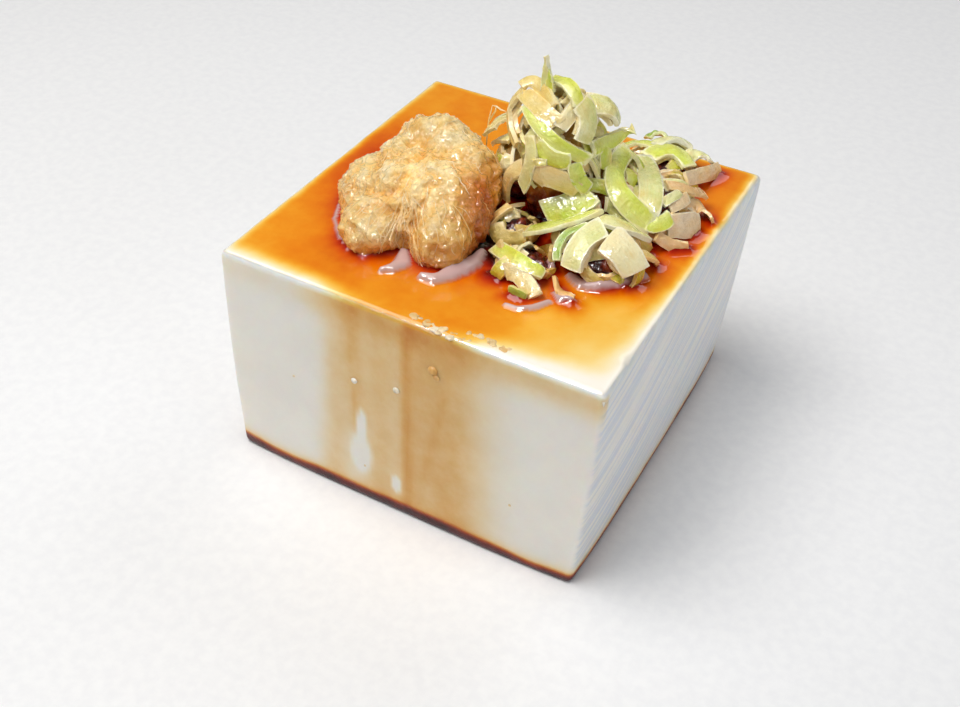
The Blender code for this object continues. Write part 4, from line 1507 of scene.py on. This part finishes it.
@dataclass
class OnionHeap:
    """The heap of sliced spring onion: a soaked core, darkened further by painted shade, with
    slices laid over it.
    """

    lumps: tuple[Lump, ...] = (
        Lump(9.0, 4.5, 11.0, 8.2, 8.2, 16.3),
        Lump(14.5, 9.0, 3.0, 10.3, 11.8, 10.8),
        Lump(23.5, -6.0, 0.5, 9.6, 7.6, 6.8),
        Lump(26.0, 12.0, 0.5, 7.5, 12.0, 7.0),
        Lump(21.5, 27.0, 0.3, 8.5, 8.0, 6.0),
        Lump(12.5, -15.0, 0.3, 6.0, 5.5, 4.0),
        Lump(6.0, -6.0, 0.3, 5.0, 4.5, 4.8),
        Lump(0.0, 6.5, 6.5, 5.0, 5.5, 8.5),
    )
    core_shrink: float = 0.9         # the core lies this far inside the lumps, in millimetres
    ply_shortening: float = 0.16     # share of the length that each ply under the skin lacks
    ply_narrowing: float = 0.08
    ply_gap: float = 0.25
    skewing: float = 0.35
    twisting: float = 0.35
    flaring: float = 0.16
    cuts_along: int = 15
    cuts_across: int = 4
    edge_bevel: float = 0.06 * MM
    sharp_angle: float = 0.6         # edges that turn by more stay crisp, in radians
    thinning: float = 0.62           # the walls of the slices against those of the solid heap
    end_taper: float = 0.95
    proud: float = 0.4
    least_rise: float = 0.15
    filler_seed: int = 9
    fillers_per_lump: tuple[int, ...] = (11, 9, 6, 4, 6, 3, 2, 4)
    filler_runs: tuple[float, float] = (6.0, 10.0)
    filler_sags: tuple[float, float] = (0.15, 0.45)
    filler_thick: float = 1.1
    shreds: tuple[Shreds, ...] = (
        Shreds(77, (44, 34, 20, 22, 20, 10, 10, 12)),
        Shreds(31, (34, 38, 0, 14, 12, 0, 0, 20), (0.02, 0.55), (0.02, 0.6), (4.5, 8.5),
               (2.2, 3.6)),
    )
    meshes: dict[Look, bmesh.types.BMesh] = field(default_factory=dict)
    trees: list[BVHTree] = field(default_factory=list)

    def outward(self, point: Vector) -> Vector:
        """Return the direction away from the heap at a point, never pointing down."""
        nearest = min(self.lumps, key=lambda lump: lump.scaled(point).length)
        facing = nearest.outward(point)
        facing.z = max(facing.z, self.least_rise)
        return facing.normalized()

    def buried(self, point: Vector, own: Lump) -> bool:
        """Return whether a point lies inside another lump of the heap."""
        return any(lump is not own and lump.scaled(point).length < 1.0 for lump in self.lumps)

    def add_slice(self, piece: OnionSlice, seed: float) -> None:
        """Add a slice, in one or more plies, to the mesh of its look.

        Args:
            piece: The slice.
            seed: Number that varies its tone and its unevenness.
        """
        for ply in range(piece.plies):
            self.add_ply(piece, seed + 0.37 * ply, ply)

    def add_ply(self, piece: OnionSlice, seed: float, ply: int) -> None:
        """Add one ply: a flat bar bent along the slice's curve, with its edges rounded.

        Args:
            piece: The slice.
            seed: Number that varies its tone and its unevenness.
            ply: 0 for the outer skin, and more for the layers under it.
        """
        bm = bmesh.new()
        bmesh.ops.create_cube(bm, size=1.0)
        for axis, cuts in ((0, self.cuts_along), (1, self.cuts_across), (2, 1)):
            lines = [edge for edge in bm.edges
                     if abs(edge.verts[0].co[axis] - edge.verts[1].co[axis]) > 0.5]
            bmesh.ops.subdivide_edges(bm, edges=lines, cuts=cuts, use_grid_fill=True)
        layers = add_layers(bm, SLICE_LAYERS)
        corners = [edge for edge in bm.edges if self.on_cube_edge(edge)]
        facing = self.outward(Vector(piece.middle))
        shorter = 1.0 - self.ply_shortening * ply
        thick = piece.thick * self.thinning
        lower = ply * (thick + self.ply_gap)
        skew = piece.skew + self.skewing * math.sin(seed * 31.7)
        twist = self.twisting * math.sin(seed * 17.3)
        flare = self.flaring * math.sin(seed * 23.9)
        flip = math.copysign(1.0, math.sin(seed * 41.3))
        for vert in bm.verts:
            along, side, layer = vert.co
            share = 0.5 + (along + skew * side * 0.22 * abs(2.0 * along)) * shorter
            point, heading = piece.curve(share)
            sideways = facing.cross(heading).normalized()
            turn = math.radians(piece.roll) + twist * along
            sideways = Matrix.Rotation(turn, 3, heading) @ sideways
            up = heading.cross(sideways)
            wobble = noise.noise(Vector((share * 3.0, 5.0 * seed, side)))
            body = math.sin(math.pi * min(1.0, max(0.0, share)))
            swell = self.end_taper + (1.0 - self.end_taper) * body + flare * along
            swell *= 1.0 + (piece.far_width - 1.0) * (along + 0.5)
            span = piece.width * swell * (1.0 + 0.12 * wobble)
            span *= 1.0 - self.ply_narrowing * ply
            cup = -4.0 * piece.cup * span * side * side
            crumple = 0.3 * noise.noise(Vector((share * 4.0, side * 2.0, 9.0 * seed)))
            wall = thick * (1.0 + 0.25 * noise.noise(Vector((share * 5.0, side * 3.0, seed))))
            height = layer * wall + cup + crumple - lower
            place = point + sideways * side * span + up * height + facing * self.proud
            vert.co = place * MM + TOP
            vert[layers["layer"]] = layer + 0.5 if ply == 0 else 0.25
            # 1 on the cut faces and ends, and near 1 at the skin's border, where the painted rim
            # highlight lies
            vert[layers["edge"]] = 2.0 * max(abs(side), abs(along) - 0.02)
            vert[layers["along"]] = share + seed
            vert[layers["side"]] = side * flip
            vert[layers["tone"]] = 0.5 + 0.5 * math.sin(seed * 12.9)
            damp = 0.7 * math.exp(-max(0.0, place.z) / 1.1)
            damp += 0.22 * max(0.0, noise.noise(place / 2.5))
            vert[layers["soak_and_shade"]] = piece.soak_and_shade + damp + 0.1 * ply
        bmesh.ops.bevel(bm, geom=corners, offset=self.edge_bevel, offset_type="OFFSET",
                        segments=1, profile=0.5, affect="EDGES", material=-1)
        for edge in bm.edges:
            edge.smooth = edge.calc_face_angle(0.0) < self.sharp_angle
        self.trees.append(BVHTree.FromBMesh(bm))
        pour(bm, self.meshes[piece.look])

    @staticmethod
    def on_cube_edge(edge: bmesh.types.BMEdge) -> bool:
        """Return whether an edge lies on one of the twelve edges of the unit cube."""
        first, second = edge.verts
        outer = [axis for axis in range(3)
                 if abs(first.co[axis]) > 0.499 and abs(first.co[axis] - second.co[axis]) < 0.001]
        return len(outer) >= 2

    @staticmethod
    def course(outward: Vector, draw: random.Random, runs: tuple[float, float],
               sags: tuple[float, float]) -> tuple[Vector, Vector]:
        """Pick which way a slice lies on a lump.

        Args:
            outward: Direction that the lump's skin faces there.
            draw: Source of the draws.
            runs: Shortest and longest run, in millimetres.
            sags: Least and most that its ends lie lower, against half its run.

        Returns:
            Half its run, and how far its ends lie lower than its middle.
        """
        spin = Matrix.Rotation(draw.uniform(0.0, math.pi), 3, outward)
        heading = spin @ outward.orthogonal().normalized()
        half_run = heading * draw.uniform(*runs) / 2
        return half_run, outward * half_run.length * draw.uniform(*sags)

    def filler(self, lump: Lump, bearing: float, draw: random.Random) -> Optional[OnionSlice]:
        """Return a slice that lies on a lump, or None where another lump buries it.

        Args:
            lump: The lump that it lies on.
            bearing: Direction from the lump's middle, in radians.
            draw: Source of the draws.

        Returns:
            The slice, if it shows.
        """
        outward = aim(bearing, math.asin(draw.uniform(0.05, 0.9)))
        middle = lump.at(outward)
        half_run, drop = self.course(outward, draw, self.filler_runs, self.filler_sags)
        lift = outward * 1.3 * draw.uniform(0.0, 0.6)
        width, roll = draw.uniform(2.0, 3.2), draw.uniform(-35.0, 35.0)
        if self.buried(middle, lump):
            return None
        low = (middle.z < 4.0) * 0.25
        look = (Look.PALE, Look.LIME, Look.CREAM, Look.PALE)[int(bearing * 7.0) % 4]
        return OnionSlice(look, tuple(middle - half_run - drop), tuple(middle + lift),
                          tuple(middle + half_run - drop), width, self.filler_thick, roll,
                          soak_and_shade=0.05 + low)

    def add_fillers(self) -> None:
        """Add the slices between those that show most, as the solid heap has them."""
        draw = random.Random(self.filler_seed)
        number = 0
        for lump, count in zip(self.lumps, self.fillers_per_lump):
            for step in range(count):
                bearing = FULL_TURN * (step + draw.random()) / count
                piece = self.filler(lump, bearing, draw)
                if piece:
                    number += 1
                    self.add_slice(piece, 3.0 + 0.61 * number)

    def add_shreds(self, shreds: Shreds) -> None:
        """Add small slices that fill the gaps in the heap's skin.

        Args:
            shreds: How many there are and where they lie.
        """
        draw = random.Random(shreds.seed)
        first, last = shreds.bearings
        high_looks = (Look.PALE, Look.LIME, Look.CREAM, Look.PALE, Look.LIME, Look.TAN)
        low_looks = (Look.CREAM, Look.PALE, Look.SOAKED, Look.LIME, Look.TAN, Look.GREEN)
        for lump, count in zip(self.lumps, shreds.per_lump):
            for step in range(count):
                way = first + (last - first) * (step + draw.random()) / count
                outward = aim(FULL_TURN * way, math.asin(draw.uniform(*shreds.heights)))
                middle = lump.at(outward) - outward * shreds.sunk
                half_run, drop = self.course(outward, draw, shreds.runs, shreds.sags)
                width = draw.uniform(*shreds.widths)
                roll = draw.uniform(-shreds.roll, shreds.roll)
                looks = high_looks if middle.z > 8.0 else low_looks
                look = looks[min(5, int(draw.random() ** 1.3 * 6))]
                soak_and_shade = draw.uniform(0.0, 0.15)
                if self.buried(middle, lump) or middle.z < 0.4:
                    continue
                piece = OnionSlice(look, tuple(middle - half_run - drop), tuple(middle),
                                   tuple(middle + half_run - drop), width, shreds.thick,
                                   roll, soak_and_shade=soak_and_shade + 0.2 * (middle.z < 3.0))
                self.add_slice(piece, 60.0 + 0.43 * step + lump.x)

    def build_core(self) -> bpy.types.Object:
        """Build the core under the slices, which stands for the solid heap, soaked with soy and
        darkened with painted shade in its hollows and low down.
        """
        bm = bmesh.new()
        layers = add_layers(bm, SLICE_LAYERS)
        for lump in self.lumps:
            made = bmesh.ops.create_icosphere(bm, subdivisions=5, radius=1.0)
            for vert in made["verts"]:
                outward = vert.co.normalized()
                half = Vector((lump.across, lump.deep, lump.tall)) * (
                    1.0 - self.core_shrink / lump.deep)
                place = Vector((lump.x + outward.x * half.x, lump.y + outward.y * half.y,
                                lump.z + outward.z * half.z))
                cell = noise.voronoi(place / 2.6)[0]
                bumps = 1.0 * (cell[1] - cell[0]) - 0.6 + 0.5 * noise.noise(place / 1.2)
                place += outward * bumps
                vert.co = place * MM + TOP
                vert[layers["layer"]] = 0.4
                vert[layers["along"]] = place.x / 8.0
                # painted shade: the core's hollows and its lower part are darker, over the real
                # soy at its foot
                low = 1.0 - ease(place.z, 4.0, 11.0)
                hollow_shade = ease(-bumps, -0.2, 0.7)
                vert[layers["soak_and_shade"]] = (0.3 + 0.5 * hollow_shade + low * (1.5 + 2.2 * hollow_shade)
                                        + 3.0 * math.exp(-max(0.0, place.z) / 2.0))
        stand_on_top(bm)
        self.trees.append(BVHTree.FromBMesh(bm))
        finish = OnionFinish("onion_core", paint(214, 208, 140), paint(190, 190, 110),
                             paint(206, 192, 130), paint(214, 208, 140))
        return finish_piece("onion_core", bm, finish.build(), "spring_onion")

    def build(self) -> list[BVHTree]:
        """Build the core and the slices, one piece for each look.

        Returns:
            Search trees of the heap's surface.
        """
        for look in Look:
            self.meshes[look] = bmesh.new()
            add_layers(self.meshes[look], SLICE_LAYERS)
        for number, piece in enumerate(SLICES.values()):
            self.add_slice(piece, 0.7 + 0.83 * number)
        self.add_fillers()
        for shreds in self.shreds:
            self.add_shreds(shreds)
        self.build_core()
        for look, bm in self.meshes.items():
            finish_piece(f"onion_slices_{look.value}", bm, ONION_FINISHES[look].build())
        return self.trees


@dataclass
class LooseBits:
    """Crumbs of tofu on the front edge and small drops on the front face."""

    crumb_lines: tuple[tuple[float, float, float, float, int], ...] = (
        (1.6, -37.9, 9.0, -38.9, 16), (9.6, -38.8, 13.6, -38.9, 8),
        (12.4, -36.7, 20.6, -37.6, 12))
    drops: tuple[tuple[float, float, float, float], ...] = (
        (-9.7, 31.3, 0.65, 0.02), (-0.3, 33.2, 0.7, 0.1), (7.4, 41.4, 1.0, 0.7),
        (8.2, 40.0, 0.7, 0.6), (24.5, 15.8, 0.3, 0.3), (-24.0, 26.0, 0.3, 0.2),
        (-7.9, 9.5, 0.3, 0.2))
    crumb_radii: tuple[float, float] = (0.4, 1.0)
    crumb_soaks: tuple[float, float] = (0.15, 0.6)
    crumb_shape: tuple[float, float, float, float] = (1.0, 0.8, 0.36, 1.0)
    drop_shape: tuple[float, float, float, float] = (1.0, 0.6, 1.0, 1.0)
    least_height: float = 1.0        # a crumb this far under the top would lie on a side
    seed: int = 5

    @staticmethod
    def add_bead(bm: bmesh.types.BMesh, place: Vector, radius: float,
                 shape: tuple[float, float, float, float]) -> list[bmesh.types.BMVert]:
        """Add a squashed ball.

        Args:
            bm: Mesh that it goes into.
            place: Its middle, in metres.
            radius: Its radius, in metres.
            shape: Shares of the radius that are left along each axis, and a last 1.

        Returns:
            Its points.
        """
        matrix = Matrix.Translation(place) @ Matrix.Diagonal(shape)
        return bmesh.ops.create_icosphere(bm, subdivisions=3, radius=radius,
                                          matrix=matrix)["verts"]

    def build(self, block: TofuBlock) -> None:
        """Build the crumbs and the drops on the block's skin.

        Args:
            block: The block that they lie on.
        """
        draw = random.Random(self.seed)
        bm = bmesh.new()
        soak_and_shade = bm.verts.layers.float.new("soak_and_shade")
        for x1, y1, x2, y2, count in self.crumb_lines:
            for step in range(count):
                share = (step + draw.random()) / count
                x = (x1 + share * (x2 - x1) + draw.uniform(-0.4, 0.4)) * MM
                y = (y1 + share * (y2 - y1) + draw.uniform(-0.5, 0.5)) * MM
                hit = block.skin_below(x, y)
                if hit is None or hit.z < TOP_Z - self.least_height * MM:
                    continue
                radius = draw.uniform(*self.crumb_radii) * MM
                level = draw.uniform(*self.crumb_soaks)
                for vert in self.add_bead(bm, hit, radius, self.crumb_shape):
                    vert.co += noise.noise_vector(vert.co / (0.7 * MM)) * 0.3 * radius
                    vert[soak_and_shade] = level
        for x, z, radius, level in self.drops:
            hit = block.tree.ray_cast(Vector((x * MM, -60 * MM, z * MM)),
                                      Vector((0.0, 1.0, 0.0)))[0]
            for vert in self.add_bead(bm, hit, radius * MM, self.drop_shape):
                vert[soak_and_shade] = level
        finish = TofuFinish("tofu_crumb", 0.4 * MM, "BURLEY")
        finish_piece("tofu_crumbs", bm, finish.build())


@dataclass
class Studio:
    """The pale floor, the soft lights and the camera."""

    floor_size: float = 3.0
    camera_place: Vector = field(
        default_factory=lambda: Vector((0.08752, -0.17692, 0.18185)))
    azimuth: float = 27.36
    elevation: float = 40.66
    roll: float = 2.27
    focal_pixels: float = 1183.6
    image_width: int = 960
    sensor: float = 36.0
    aim_height: float = 0.04
    sky: tuple[float, float, float, float] = (0.93, 0.95, 1.0, 1.0)
    sky_strength: float = 0.15

    def build_floor(self) -> None:
        """Build the floor, which isn't part of the food."""
        bm = bmesh.new()
        bmesh.ops.create_grid(bm, x_segments=2, y_segments=2, size=self.floor_size / 2)
        mesh = bpy.data.meshes.new("floor")
        bm.to_mesh(mesh)
        bm.free()
        mesh.materials.append(FloorFinish().build())
        floor = bpy.data.objects.new("floor", mesh)
        bpy.context.scene.collection.objects.link(floor)

    def add_light(self, name: str, place: tuple[float, float, float], size: float,
                  power: float, colour: tuple[float, float, float]) -> bpy.types.Object:
        """Add a soft square light that points at the food.

        Args:
            name: The light's name.
            place: Where it hangs, in metres.
            size: Its side, in metres.
            power: Its power in watts.
            colour: Its colour.

        Returns:
            The light's object.
        """
        light = bpy.data.lights.new(name, "AREA")
        light.shape = "SQUARE"
        light.size = size
        light.energy = power
        light.color = colour
        lamp = bpy.data.objects.new(name, light)
        lamp.location = place
        towards = Vector((0.0, 0.0, self.aim_height)) - Vector(place)
        lamp.rotation_mode = "QUATERNION"
        lamp.rotation_quaternion = towards.to_track_quat("-Z", "Y")
        bpy.context.scene.collection.objects.link(lamp)
        return lamp

    def build_lights(self) -> None:
        """Build the lights and the even light from all round."""
        self.add_light("key_light", (-0.20, -0.14, 0.61), 0.42, 3.62, (1.0, 0.985, 0.96))
        self.add_light("front_fill", (-0.34, -0.56, 0.32), 0.45, 0.1, (0.94, 0.97, 1.0))
        self.add_light("back_light", (0.12, 0.42, 0.45), 0.30, 0.6, (1.0, 1.0, 1.0))
        self.add_light("cool_fill", (0.60, -0.15, 0.20), 0.35, 0.78, (0.88, 0.93, 1.0))
        for name, place in (("glint_left", (-0.16, -0.38, 0.50)),
                            ("glint_right", (0.10, -0.20, 0.62))):
            glint = self.add_light(name, place, 0.16, 4.0, (1.0, 1.0, 1.0))
            glint.visible_diffuse = False
        world = bpy.data.worlds.new("soft_room")
        world.use_nodes = True
        sky = world.node_tree.nodes["Background"]
        sky.inputs["Color"].default_value = self.sky
        sky.inputs["Strength"].default_value = self.sky_strength
        bpy.context.scene.world = world

    def build_camera(self) -> None:
        """Build the camera at the photograph's place."""
        az, el, roll = (math.radians(a) for a in (self.azimuth, self.elevation, self.roll))
        back = Vector((math.sin(az) * math.cos(el), -math.cos(az) * math.cos(el),
                       math.sin(el)))
        right = UP.cross(back).normalized()
        up = back.cross(right)
        turned_right = math.cos(roll) * right + math.sin(roll) * up
        turned_up = -math.sin(roll) * right + math.cos(roll) * up
        turn = Matrix((turned_right, turned_up, back)).transposed()
        data = bpy.data.cameras.new("camera")
        data.sensor_width = self.sensor
        data.lens = self.focal_pixels * self.sensor / self.image_width
        data.clip_start = 0.01
        camera = bpy.data.objects.new("camera", data)
        camera.matrix_world = Matrix.Translation(self.camera_place) @ turn.to_4x4()
        bpy.context.scene.collection.objects.link(camera)
        bpy.context.scene.camera = camera

    def build(self) -> None:
        """Build the floor, the lights and the camera."""
        self.build_floor()
        self.build_lights()
        self.build_camera()
        bpy.context.scene.view_settings.view_transform = "Standard"


class Toppings:
    """Answers which topping is nearest, over several search trees."""

    def __init__(self, trees: Iterable[BVHTree]) -> None:
        """Keep the trees.

        Args:
            trees: Search trees of the toppings.
        """
        self.trees = list(trees)

    def find_nearest(self, place: Vector) -> tuple[Optional[Vector], None, None, float]:
        """Return the nearest point in any tree, in the form that a tree answers in."""
        best = (None, None, None, FARTHEST_SEARCH)
        for tree in self.trees:
            found = tree.find_nearest(place, best[3])
            if found[0] is not None and found[3] < best[3]:
                best = (found[0], None, None, found[3])
        return best


def main() -> None:
    """Build the food round its frame, and the studio round the food."""
    logging.basicConfig(level=logging.INFO, format="%(message)s")
    noise.seed_set(NOISE_SEED)
    ginger_tree = GingerMound().build()
    onion_trees = OnionHeap().build()
    sauce = SauceMap(topping_tree=Toppings([ginger_tree, *onion_trees]))
    block = TofuBlock()
    block.build(sauce)
    SoyFilm().build(block, sauce)
    LooseBits().build(block)
    Studio().build()


if __name__ == "__main__":
    main()
